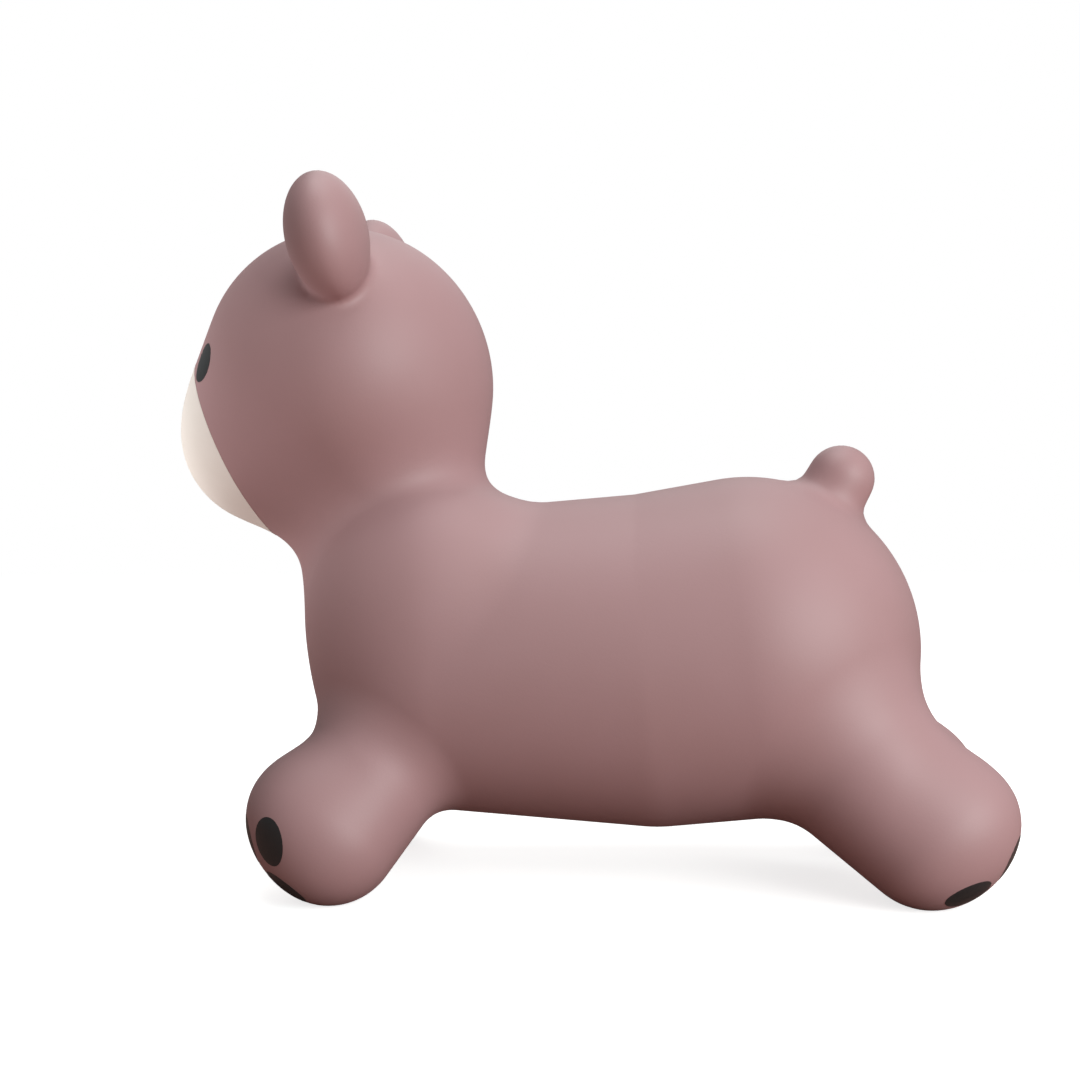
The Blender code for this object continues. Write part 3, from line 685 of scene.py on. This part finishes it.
@cache
def sprayed_paint(name, colour, patch_colour, roughness):
    """Vinyl paint, sprayed through a mask: it fills the mould's grain, so it is smoother than the skin
    round it, with a faint orange-peel and a coat that is not quite even."""
    made, tree, output = new_material(name)
    place = add_node(tree, "ShaderNodeTexCoord").outputs["Object"]
    patch = add_node(
        tree, "ShaderNodeTexNoise", {"Vector": place, "Scale": 1 / SPRAY_PATCH, "Detail": 2.0}
    )
    peel = add_node(
        tree, "ShaderNodeTexNoise", {"Vector": place, "Scale": 1 / ORANGE_PEEL, "Detail": 0.0}
    )
    mix = add_node(
        tree,
        "ShaderNodeMix",
        {"Factor": patch.outputs["Fac"], "A": (*colour, 1), "B": (*patch_colour, 1)},
        data_type="RGBA",
    )
    bump = add_node(
        tree, "ShaderNodeBump", {"Strength": 0.06, "Distance": 0.0003, "Height": peel.outputs["Fac"]}
    )
    shader = add_node(
        tree,
        "ShaderNodeBsdfPrincipled",
        {
            "Base Color": mix.outputs["Result"],
            "Roughness": roughness,
            "Normal": bump.outputs["Normal"],
            "IOR": 1.5,
        },
    )
    tree.links.new(shader.outputs["BSDF"], output.inputs["Surface"])
    return made


@cache
def moulded_polyethylene():
    """Natural low-density polyethylene, injection-moulded: milky, waxy and a little see-through."""
    made, tree, output = new_material("polyethylene_injection_moulded")
    place = add_node(tree, "ShaderNodeTexCoord").outputs["Object"]
    # Flow marks make the wax sheen uneven
    flow = add_node(tree, "ShaderNodeTexNoise", {"Vector": place, "Scale": 1 / FLOW_MARK, "Detail": 2.0})
    rough = add_node(
        tree,
        "ShaderNodeMapRange",
        {"Value": flow.outputs["Fac"], "From Min": 0.3, "From Max": 0.7, "To Min": 0.32, "To Max": 0.45},
    )
    shader = add_node(
        tree,
        "ShaderNodeBsdfPrincipled",
        {
            "Base Color": (*bpy.context.scene.hopper.valve.colour, 1),
            "Roughness": rough.outputs["Result"],
            "Subsurface Weight": 0.2,
            "Subsurface Scale": 0.003,
            "IOR": 1.51,
        },
    )
    tree.links.new(shader.outputs["BSDF"], output.inputs["Surface"])
    return made


def cream_paint():
    paint = bpy.context.scene.hopper.paint
    return sprayed_paint("cream_vinyl_paint_sprayed", tuple(paint.cream), tuple(paint.cream_patch), 0.5)


def black_paint():
    paint = bpy.context.scene.hopper.paint
    return sprayed_paint("black_vinyl_paint_sprayed", tuple(paint.black), tuple(paint.black_patch), 0.36)


@cache
def paint_oval_tree():
    """Geometry nodes that cast an oval disc from inside the bear onto the skin, as a closed film."""
    tree = bpy.data.node_groups.new("paint_oval_on_skin", "GeometryNodeTree")
    for name, kind in (
        ("Skin", "NodeSocketObject"),
        ("Paint", "NodeSocketMaterial"),
        ("Centre", "NodeSocketVector"),
        ("Turn", "NodeSocketRotation"),
        ("Half Width", "NodeSocketFloat"),
        ("Half Height", "NodeSocketFloat"),
        ("Lift", "NodeSocketFloat"),
        ("Thickness", "NodeSocketFloat"),
        ("Sides", "NodeSocketInt"),
    ):
        tree.interface.new_socket(name, in_out="INPUT", socket_type=kind)
    tree.interface.new_socket("Film", in_out="OUTPUT", socket_type="NodeSocketGeometry")
    given = add_node(tree, "NodeGroupInput").outputs
    skin = add_node(tree, "GeometryNodeObjectInfo", {"Object": given["Skin"]}).outputs["Geometry"]
    disc = add_node(
        tree, "GeometryNodeMeshCircle", {"Vertices": given["Sides"], "Radius": 1.0}, fill_type="TRIANGLE_FAN"
    )
    fine = add_node(tree, "GeometryNodeSubdivideMesh", {"Mesh": disc.outputs["Mesh"], "Level": 3})
    # How far the skin is from the centre, straight ahead
    ahead = add_node(tree, "FunctionNodeRotateVector", {"Vector": (0, 0, 1), "Rotation": given["Turn"]})
    ray = {"Target Geometry": skin, "Source Position": given["Centre"]}
    reach = add_node(tree, "GeometryNodeRaycast", {**ray, "Ray Direction": ahead.outputs["Vector"]})
    # The oval at that distance, and where rays through it meet the skin
    spot = add_node(tree, "GeometryNodeInputPosition").outputs["Position"]
    size = add_node(tree, "ShaderNodeCombineXYZ", {"X": given["Half Width"], "Y": given["Half Height"]})
    flat = add_node(
        tree, "ShaderNodeVectorMath", {0: spot, 1: size.outputs["Vector"]}, operation="MULTIPLY"
    )
    depth = add_node(tree, "ShaderNodeCombineXYZ", {"Z": reach.outputs["Hit Distance"]})
    oval = add_node(
        tree,
        "ShaderNodeVectorMath",
        {0: flat.outputs["Vector"], 1: depth.outputs["Vector"]},
        operation="ADD",
    )
    aim = add_node(
        tree, "FunctionNodeRotateVector", {"Vector": oval.outputs["Vector"], "Rotation": given["Turn"]}
    )
    normal = add_node(tree, "GeometryNodeInputNormal").outputs["Normal"]
    hit = add_node(
        tree,
        "GeometryNodeRaycast",
        {**ray, "Ray Direction": aim.outputs["Vector"]},
        data_type="FLOAT_VECTOR",
    )
    tree.links.new(normal, hit.inputs["Attribute"])
    lift = add_node(
        tree,
        "ShaderNodeVectorMath",
        {0: hit.outputs["Attribute"], "Scale": given["Lift"]},
        operation="SCALE",
    )
    top = add_node(
        tree,
        "GeometryNodeSetPosition",
        {
            "Geometry": fine.outputs["Mesh"],
            "Position": hit.outputs["Hit Position"],
            "Offset": lift.outputs["Vector"],
        },
    )
    # The same film pushed into the skin and turned over closes it from below
    down = add_node(tree, "ShaderNodeMath", {0: given["Thickness"], 1: -1.0}, operation="MULTIPLY")
    pushed = add_node(
        tree,
        "GeometryNodeExtrudeMesh",
        {"Mesh": top.outputs["Geometry"], "Offset Scale": down.outputs["Value"], "Individual": False},
    )
    turned = add_node(tree, "GeometryNodeFlipFaces", {"Mesh": pushed.outputs["Mesh"]})
    both = add_node(tree, "GeometryNodeJoinGeometry")
    tree.links.new(top.outputs["Geometry"], both.inputs["Geometry"])
    tree.links.new(turned.outputs["Mesh"], both.inputs["Geometry"])
    closed = add_node(
        tree,
        "GeometryNodeMergeByDistance",
        {"Geometry": both.outputs["Geometry"], "Distance": MERGE_DISTANCE},
    )
    smooth = add_node(tree, "GeometryNodeSetShadeSmooth", {"Geometry": closed.outputs["Geometry"]})
    bend = add_node(tree, "GeometryNodeInputMeshEdgeAngle")
    rim = add_node(
        tree,
        "FunctionNodeCompare",
        {"A": bend.outputs["Unsigned Angle"], "B": FILM_EDGE},
        operation="GREATER_THAN",
    )
    sharp = add_node(
        tree,
        "GeometryNodeSetShadeSmooth",
        {"Geometry": smooth.outputs["Geometry"], "Selection": rim.outputs["Result"], "Shade Smooth": False},
        domain="EDGE",
    )
    real = add_node(tree, "GeometryNodeRealizeInstances", {"Geometry": sharp.outputs["Geometry"]})
    painted = add_node(
        tree, "GeometryNodeSetMaterial", {"Geometry": real.outputs["Geometry"], "Material": given["Paint"]}
    )
    output = add_node(tree, "NodeGroupOutput")
    tree.links.new(painted.outputs["Geometry"], output.inputs["Film"])
    return tree


def heading_of(forward, bearing, elevation, side=RIGHT):
    """A direction from its angle outward from straight ahead and its angle upward, in degrees."""
    bearing, elevation = math.radians(bearing), math.radians(elevation)
    level = math.cos(elevation)
    return (forward * math.cos(bearing) * level, side * math.sin(bearing) * level, math.sin(elevation))


def paint_oval(name, ball, heading, half_size, paint, lean=0.0, coats_below=0):
    """An oval film where a heading from a ball meets the skin; a positive lean turns its top right."""
    sizes = bpy.context.scene.hopper.paint
    ahead = Vector(heading).normalized()
    right = Vector((0, 0, 1)).cross(ahead).normalized()
    up = ahead.cross(right)
    across = right * math.cos(lean) - up * math.sin(lean)
    along = up * math.cos(lean) + right * math.sin(lean)
    turn = Matrix((across, along, ahead)).transposed().to_euler()
    points, faces = skin_net(bpy.context.scene.hopper.skin.spacing)
    skin = add_object("skin_to_paint", mesh_from(points, faces))
    skin.data.shade_smooth()
    skin.hide_render = True
    film = add_object(name, bpy.data.meshes.new(name))
    modifier = film.modifiers.new("paint_oval", "NODES")
    modifier.node_group = paint_oval_tree()
    values = {
        "Skin": skin,
        "Paint": paint,
        "Centre": ball.centre.tolist(),
        "Turn": tuple(turn),
        "Half Width": half_size[0],
        "Half Height": half_size[1],
        "Lift": sizes.coat * (1 + coats_below),
        "Thickness": 2 * sizes.coat,
        "Sides": sizes.sides,
    }
    for item in modifier.node_group.interface.items_tree:
        if item.in_out == "INPUT":
            modifier[item.identifier] = values[item.name]
    mesh = evaluated_mesh(film)
    bpy.data.objects.remove(skin)
    mesh.name = name
    return add_object(name, mesh)


def film_grid(origin, pole, aims, high, low):
    """A closed film over the skin, from a fan of rays: rings of aims round the pole, inner to outer."""
    rings, sides = aims.shape[:2]
    rays = np.concatenate([pole[None], aims.reshape(-1, 3)])
    rays = rays / np.linalg.norm(rays, axis=1)[:, None]
    faces = []
    for i in range(sides):
        j = (i + 1) % sides
        faces.append([0, 1 + i, 1 + j])
        for r in range(rings - 1):
            inner = 1 + r * sides
            outer = inner + sides
            faces.append([inner + i, outer + i, outer + j, inner + j])
    points = [*cast(origin, rays, high), *cast(origin, rays, low)]
    mesh = mesh_from(points, closed_faces(faces, len(rays)))
    mesh.shade_smooth()
    mesh.set_sharp_from_angle(angle=FILM_EDGE)
    return mesh


def finish_piece(piece, body, slot, *nodes):
    """Ties a finished piece to its body and hides the CAD nodes that it stands for; the slot is not used."""
    if body:
        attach(piece, body)
    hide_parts(*nodes)


class HopperSkin(bpy.types.PropertyGroup):
    """The moulded skin."""

    spacing: FloatProperty(
        name="Net spacing", description="Size of the skin's facets", default=0.004, min=0.003, unit="LENGTH"
    )
    wall: FloatProperty(
        name="Wall", description="Thickness of the skin", default=0.0028, min=0.001, unit="LENGTH"
    )
    grain: FloatProperty(
        name="Grain", description="Width of the mould's grain as drawn", default=0.0016, unit="LENGTH"
    )
    drift: FloatProperty(
        name="Drift", description="Width of the patches of pigment", default=0.070, unit="LENGTH"
    )
    colour: FloatVectorProperty(
        name="Colour", description="Dusty pink of the skin", default=linear("#ac8686"), subtype="COLOR"
    )
    drift_colour: FloatVectorProperty(
        name="Drift colour", description="Pink of the patches", default=linear("#b18a8c"), subtype="COLOR"
    )


class HopperPaint(bpy.types.PropertyGroup):
    """The painted fields."""

    coat: FloatProperty(
        name="Coat", description="Thickness of one coat of paint", default=0.00015, min=0.0001, unit="LENGTH"
    )
    sides: IntProperty(name="Sides", description="Sides of an oval", default=48, min=12)
    eye: FloatVectorProperty(
        name="Eye", description="Half width and half height", size=2, default=(0.012, 0.014), unit="LENGTH"
    )
    nose: FloatVectorProperty(
        name="Nose", description="Half width and half height", size=2, default=(0.015, 0.010), unit="LENGTH"
    )
    claw: FloatVectorProperty(
        name="Claw", description="Half width and half height", size=2, default=(0.013, 0.0175), unit="LENGTH"
    )
    cream: FloatVectorProperty(
        name="Cream", description="Muzzle", default=linear("#f3e6de"), subtype="COLOR"
    )
    cream_patch: FloatVectorProperty(
        name="Cream patches", description="Spray patches", default=linear("#efe2d9"), subtype="COLOR"
    )
    black: FloatVectorProperty(
        name="Black", description="Eyes, nose and claws", default=linear("#242627"), subtype="COLOR"
    )
    black_patch: FloatVectorProperty(
        name="Black patches", description="Spray patches", default=linear("#2b2d2e"), subtype="COLOR"
    )


class HopperValve(bpy.types.PropertyGroup):
    """The air valve in the belly."""

    bore: FloatProperty(name="Bore", description="Radius of the air hole", default=0.0053, unit="LENGTH")
    seat: FloatProperty(name="Seat", description="Radius of the seat", default=0.0125, unit="LENGTH")
    plug: FloatProperty(name="Plug", description="Radius of the plug's head", default=0.0085, unit="LENGTH")
    clearance: FloatProperty(
        name="Clearance", description="Gap between fitted pieces", default=0.0003, unit="LENGTH"
    )
    colour: FloatVectorProperty(
        name="Colour", description="Milky plastic", default=linear("#d9d5cf"), subtype="COLOR"
    )


class HopperStage(bpy.types.PropertyGroup):
    """Floor and light."""

    floor_size: FloatProperty(
        name="Floor", description="Width of the floor", default=8.0, min=1.0, unit="LENGTH"
    )
    floor_colour: FloatVectorProperty(
        name="Floor colour", description="Pale studio floor", default=linear("#f2f1ef"), subtype="COLOR"
    )
    bounce_colour: FloatVectorProperty(
        name="Bounce", description="Light off the floor", default=(0.34, 0.195, 0.165), subtype="COLOR"
    )
    key_power: FloatProperty(
        name="Key", description="Soft light from the camera's right", default=41.5, unit="POWER"
    )
    top_power: FloatProperty(name="Top", description="Soft light from above", default=22.5, unit="POWER")
    back_power: FloatProperty(
        name="Back", description="Soft light from the far side", default=6.9, unit="POWER"
    )
    face_power: FloatProperty(
        name="Face", description="Small light on the muzzle", default=0.205, unit="POWER"
    )


class HopperSettings(bpy.types.PropertyGroup):
    """All that can be set on the hopper."""

    skin: PointerProperty(type=HopperSkin)
    paint: PointerProperty(type=HopperPaint)
    valve: PointerProperty(type=HopperValve)
    stage: PointerProperty(type=HopperStage)


def valve_place():
    """Where the valve sits in the belly's skin, with Z pointing out."""
    spot = cast(BELLY.centre, np.array([(0.0, 0.0, -1.0)]), 0.0)
    outward = Vector(skin_normal(spot)[0])
    return Matrix.Translation(spot[0]) @ outward.to_track_quat("Z", "Y").to_matrix().to_4x4()


class HOPPER_OT_skin(bpy.types.Operator):
    """Make the moulded skin: the trunk, and a piece for each limb, cut off at its joint"""

    bl_idname = "hopper.make_skin"
    bl_label = "Make skin"

    def execute(self, context):
        sizes = context.scene.hopper.skin
        points, faces = skin_net(sizes.spacing)
        bm = bmesh.new()
        bm.from_mesh(mesh_from(points, faces))
        for limb in limbs():
            cut_off(bm, limb, sizes.spacing * CUT_SNAP)
            piece = add_object(limb.name, walled_mesh(*take_section(bm, limb.tip), sizes.wall))
            shade_as_skin(piece.data)
            piece.data.materials.append(soft_pvc())
            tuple(limb.start)
            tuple(limb.end)
            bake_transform(piece)
            finish_piece(piece, None, "skin_vinyl", *limb.nodes)
        blank = walled_mesh(*take_section(bm, BELLY.centre), sizes.wall)
        bm.free()
        trunk = self.with_valve_hole(context, blank)
        shade_as_skin(trunk.data)
        trunk.data.materials.clear()
        trunk.data.materials.append(soft_pvc())
        finish_piece(trunk, "trunk", "skin_vinyl", "torso")
        return {"FINISHED"}

    def with_valve_hole(self, context, mesh):
        """The trunk with a hole through its wall for the valve's seat."""
        valve = context.scene.hopper.valve
        radius = valve.seat + valve.clearance
        past_wall = 3 * context.scene.hopper.skin.wall
        profile = [(0, past_wall), (radius, past_wall), (radius, -past_wall), (0, -past_wall)]
        cutter = add_object("valve_hole", turned_mesh(profile, valve_place(), VALVE_SIDES))
        holder = add_object("trunk_blank", mesh)
        cut = holder.modifiers.new("valve_hole", "BOOLEAN")
        cut.object = cutter
        cut.operation = "DIFFERENCE"
        made = add_object("trunk_skin", evaluated_mesh(holder))
        bpy.data.objects.remove(cutter)
        return made


class HOPPER_OT_muzzle(bpy.types.Operator):
    """Paint the muzzle: all of the face in front of a plane that tips forward"""

    bl_idname = "hopper.paint_muzzle"
    bl_label = "Paint muzzle"

    def execute(self, context):
        coat = context.scene.hopper.paint.coat
        drop = MUZZLE_EDGE_DROP
        pole = np.array((-math.cos(drop), 0, -math.sin(drop)))
        up = np.array((-math.sin(drop), 0, math.cos(drop)))
        right = np.cross(up, pole)
        turn = np.linspace(0, math.tau, MUZZLE_SIDES, endpoint=False)
        round_pole = np.cos(turn)[:, None] * right + np.sin(turn)[:, None] * up
        polar = np.linspace(0, math.pi / 2, MUZZLE_RINGS + 1)[1:]
        aims = np.cos(polar)[:, None, None] * pole + np.sin(polar)[:, None, None] * round_pole
        mesh = film_grid(MUZZLE.centre + MUZZLE_EDGE_FROM_MUZZLE, pole, aims, coat, -coat)
        mesh.materials.append(cream_paint())
        finish_piece(add_object("muzzle_film", mesh), "head", "cream_paint", "muzzle_paint")
        return {"FINISHED"}


class HOPPER_OT_face(bpy.types.Operator):
    """Paint the eyes and the nose"""

    bl_idname = "hopper.paint_face"
    bl_label = "Paint eyes and nose"

    def execute(self, context):
        paint = context.scene.hopper.paint
        ahead = heading_of(-1, 0, NOSE_ELEVATION)
        nose = paint_oval("nose_film", MUZZLE, ahead, paint.nose, black_paint(), coats_below=1)
        finish_piece(nose, "head", "black_paint", "nose_paint")
        for name, side in SIDES.items():
            ahead = heading_of(-1, EYE_BEARING, EYE_ELEVATION, side)
            eye = paint_oval(f"{name}_eye_film", HEAD, ahead, paint.eye, black_paint())
            finish_piece(eye, "head", "black_paint", f"{name}_eye_paint")
        return {"FINISHED"}


class HOPPER_OT_claws(bpy.types.Operator):
    """Paint three claws on each foot"""

    bl_idname = "hopper.paint_claws"
    bl_label = "Paint claws"

    def execute(self, context):
        size = context.scene.hopper.paint.claw
        feet = (("front", FRONT_FOOT, -1, FRONT_CLAWS), ("rear", REAR_FOOT, 1, REAR_CLAWS))
        for name, side in SIDES.items():
            for leg_name, foot, forward, claws in feet:
                for claw, (bearing, elevation, lean) in claws.items():
                    node = f"{name}_{leg_name}_{claw}"
                    ahead = heading_of(forward, bearing, elevation, side)
                    to_right = math.radians(lean) * math.copysign(1, -side * forward * bearing)
                    film = paint_oval(f"{node}_film", foot.on(side), ahead, size, black_paint(), to_right)
                    finish_piece(film, f"{name}_{leg_name}_leg", "black_paint", node)
        return {"FINISHED"}


class HOPPER_OT_valve(bpy.types.Operator):
    """Make the valve's seat and the plug that is pushed into it"""

    bl_idname = "hopper.make_valve"
    bl_label = "Make valve"

    def execute(self, context):
        sizes = context.scene.hopper.valve
        place = valve_place()
        recess = sizes.plug + sizes.clearance
        recess_depth = PLUG_HEAD_THICKNESS + sizes.clearance
        flange_bottom = FLANGE_DEPTH + FLANGE_THICKNESS
        seat = [
            (recess, 0),
            (sizes.seat, 0),
            (sizes.seat, -FLANGE_DEPTH),
            (FLANGE_RADIUS, -FLANGE_DEPTH),
            (FLANGE_RADIUS, -flange_bottom),
            (SEAT_NECK_RADIUS, -flange_bottom),
            (SEAT_NECK_RADIUS, -SEAT_DEPTH),
            (sizes.bore, -SEAT_DEPTH),
            (sizes.bore, -recess_depth),
            (recess, -recess_depth),
        ]
        stem = sizes.bore - sizes.clearance
        plug = [
            (0, -DIMPLE_DEPTH),
            (DIMPLE_FLOOR_RADIUS, -DIMPLE_DEPTH),
            (DIMPLE_RIM_RADIUS, 0),
            (sizes.plug, 0),
            (sizes.plug, -PLUG_HEAD_THICKNESS),
            (stem, -PLUG_HEAD_THICKNESS),
            (stem, PLUG_TIP_CHAMFER - PLUG_DEPTH),
            (stem - PLUG_TIP_CHAMFER, -PLUG_DEPTH),
            (0, -PLUG_DEPTH),
        ]
        for name, profile, body in (("valve_seat", seat, "trunk"), ("valve_plug", plug, "valve_plug")):
            mesh = turned_mesh(rounded(profile, VALVE_ROUNDING), place, VALVE_SIDES)
            mesh.materials.append(moulded_polyethylene())
            piece = add_object(f"{name}_moulding", mesh)
            finish_piece(piece, body, "valve_plastic", name)
        return {"FINISHED"}


def facing(aim):
    """The turn of a lamp or a camera that looks along a direction."""
    return aim.to_track_quat("-Z", "Y").to_matrix().to_4x4()


class HOPPER_OT_stage(bpy.types.Operator):
    """Set the floor, the light and the camera"""

    bl_idname = "hopper.set_stage"
    bl_label = "Set stage"

    def execute(self, context):
        context.scene.view_settings.view_transform = "Standard"
        self.lay_floor(context.scene.hopper.stage)
        self.set_world(context.scene)
        self.hang_lamps(context.scene)
        self.aim_camera(context.scene)
        return {"FINISHED"}

    def lay_floor(self, sizes):
        half = sizes.floor_size / 2
        corners = [(-half, -half, 0), (half, -half, 0), (half, half, 0), (-half, half, 0)]
        floor = add_object("floor", mesh_from(corners, [[0, 1, 2, 3]]))
        made, tree, output = new_material("studio_floor")
        # Only the camera sees the pale floor; what it throws up onto the bear is dimmer and warmer
        seen = add_node(tree, "ShaderNodeLightPath").outputs["Is Camera Ray"]
        pale = add_node(tree, "ShaderNodeBsdfDiffuse", {"Color": (*sizes.floor_colour, 1)})
        glow = add_node(tree, "ShaderNodeEmission", {"Color": WHITE, "Strength": FLOOR_GLOW})
        lit = add_node(tree, "ShaderNodeAddShader", {0: pale.outputs["BSDF"], 1: glow.outputs["Emission"]})
        dim = add_node(tree, "ShaderNodeBsdfDiffuse", {"Color": (*sizes.bounce_colour, 1)})
        mix = add_node(
            tree, "ShaderNodeMixShader", {0: seen, 1: dim.outputs["BSDF"], 2: lit.outputs["Shader"]}
        )
        tree.links.new(mix.outputs["Shader"], output.inputs["Surface"])
        floor.data.materials.append(made)

    def set_world(self, scene):
        """White to the camera, and a weak even light on the bear."""
        world = bpy.data.worlds.new("studio")
        world.use_nodes = True
        tree = world.node_tree
        tree.nodes.clear()
        seen = add_node(tree, "ShaderNodeLightPath").outputs["Is Camera Ray"]
        white = add_node(tree, "ShaderNodeBackground", {"Color": WHITE, "Strength": 1.0})
        soft = add_node(tree, "ShaderNodeBackground", {"Color": WHITE, "Strength": WORLD_FILL})
        mix = add_node(
            tree,
            "ShaderNodeMixShader",
            {0: seen, 1: soft.outputs["Background"], 2: white.outputs["Background"]},
        )
        output = add_node(tree, "ShaderNodeOutputWorld")
        tree.links.new(mix.outputs["Shader"], output.inputs["Surface"])
        scene.world = world

    def hang_lamps(self, scene):
        """Three soft lamps round the bear, and a small one on its muzzle."""
        sizes = scene.hopper.stage
        for name, power, place, target, (width, spread) in (
            ("key", sizes.key_power, KEY_PLACE, TRUNK_AIM, SOFT_LAMP),
            ("top", sizes.top_power, TOP_PLACE, TRUNK_AIM, SOFT_LAMP),
            ("back", sizes.back_power, BACK_PLACE, TRUNK_AIM, SOFT_LAMP),
            ("face", sizes.face_power, FACE_PLACE, MUZZLE.centre, FACE_LAMP),
        ):
            lamp = bpy.data.lights.new(name, "AREA")
            lamp.energy = power
            lamp.color = LAMP_TINT
            lamp.size = width
            lamp.spread = spread
            holder = add_object(name, lamp)
            # The small lamp would show as a bright spot in the gloss of the paint
            holder.visible_glossy = name != "face"
            holder.matrix_world = Matrix.Translation(place) @ facing(Vector(target) - Vector(place))

    def aim_camera(self, scene):
        """The photograph's view: from the bear's left, a little behind and above, with a slight roll."""
        camera = bpy.data.cameras.new("camera")
        camera.lens = CAMERA_LENS
        camera.sensor_width = CAMERA_SENSOR
        holder = add_object("camera", camera)
        level = math.cos(CAMERA_PITCH)
        ahead = Vector(
            (-math.sin(CAMERA_YAW) * level, math.cos(CAMERA_YAW) * level, math.sin(CAMERA_PITCH))
        )
        place = Vector(CAMERA_PIVOT) - CAMERA_DISTANCE * ahead
        turn = facing(ahead) @ Matrix.Rotation(CAMERA_ROLL, 4, "Z")
        holder.matrix_world = Matrix.Translation(place) @ turn
        scene.camera = holder


class HOPPER_PT_sidebar(bpy.types.Panel):
    """Lists the hopper's steps and settings"""

    bl_label = "Animal hopper"
    bl_idname = "HOPPER_PT_sidebar"
    bl_space_type = "VIEW_3D"
    bl_region_type = "UI"
    bl_category = "Hopper"

    def draw(self, context):
        settings = context.scene.hopper
        for operator, group in STEPS:
            box = self.layout.box()
            box.operator(operator.bl_idname)
            for name in getattr(settings, group).__annotations__:
                box.prop(getattr(settings, group), name)


STEPS = (
    (HOPPER_OT_skin, "skin"),
    (HOPPER_OT_muzzle, "paint"),
    (HOPPER_OT_face, "paint"),
    (HOPPER_OT_claws, "paint"),
    (HOPPER_OT_valve, "valve"),
    (HOPPER_OT_stage, "stage"),
)
GROUPS = (HopperSkin, HopperPaint, HopperValve, HopperStage, HopperSettings)
CLASSES = (*GROUPS, *(operator for operator, _ in STEPS), HOPPER_PT_sidebar)


def register():
    for made in CLASSES:
        bpy.utils.register_class(made)
    bpy.types.Scene.hopper = PointerProperty(type=HopperSettings)


def unregister():
    del bpy.types.Scene.hopper
    for made in reversed(CLASSES):
        bpy.utils.unregister_class(made)


def main():
    register()
    bpy.ops.hopper.make_skin()
    bpy.ops.hopper.paint_muzzle()
    bpy.ops.hopper.paint_face()
    bpy.ops.hopper.paint_claws()
    bpy.ops.hopper.make_valve()
    bpy.ops.hopper.set_stage()


if __name__ == "__main__":
    main()
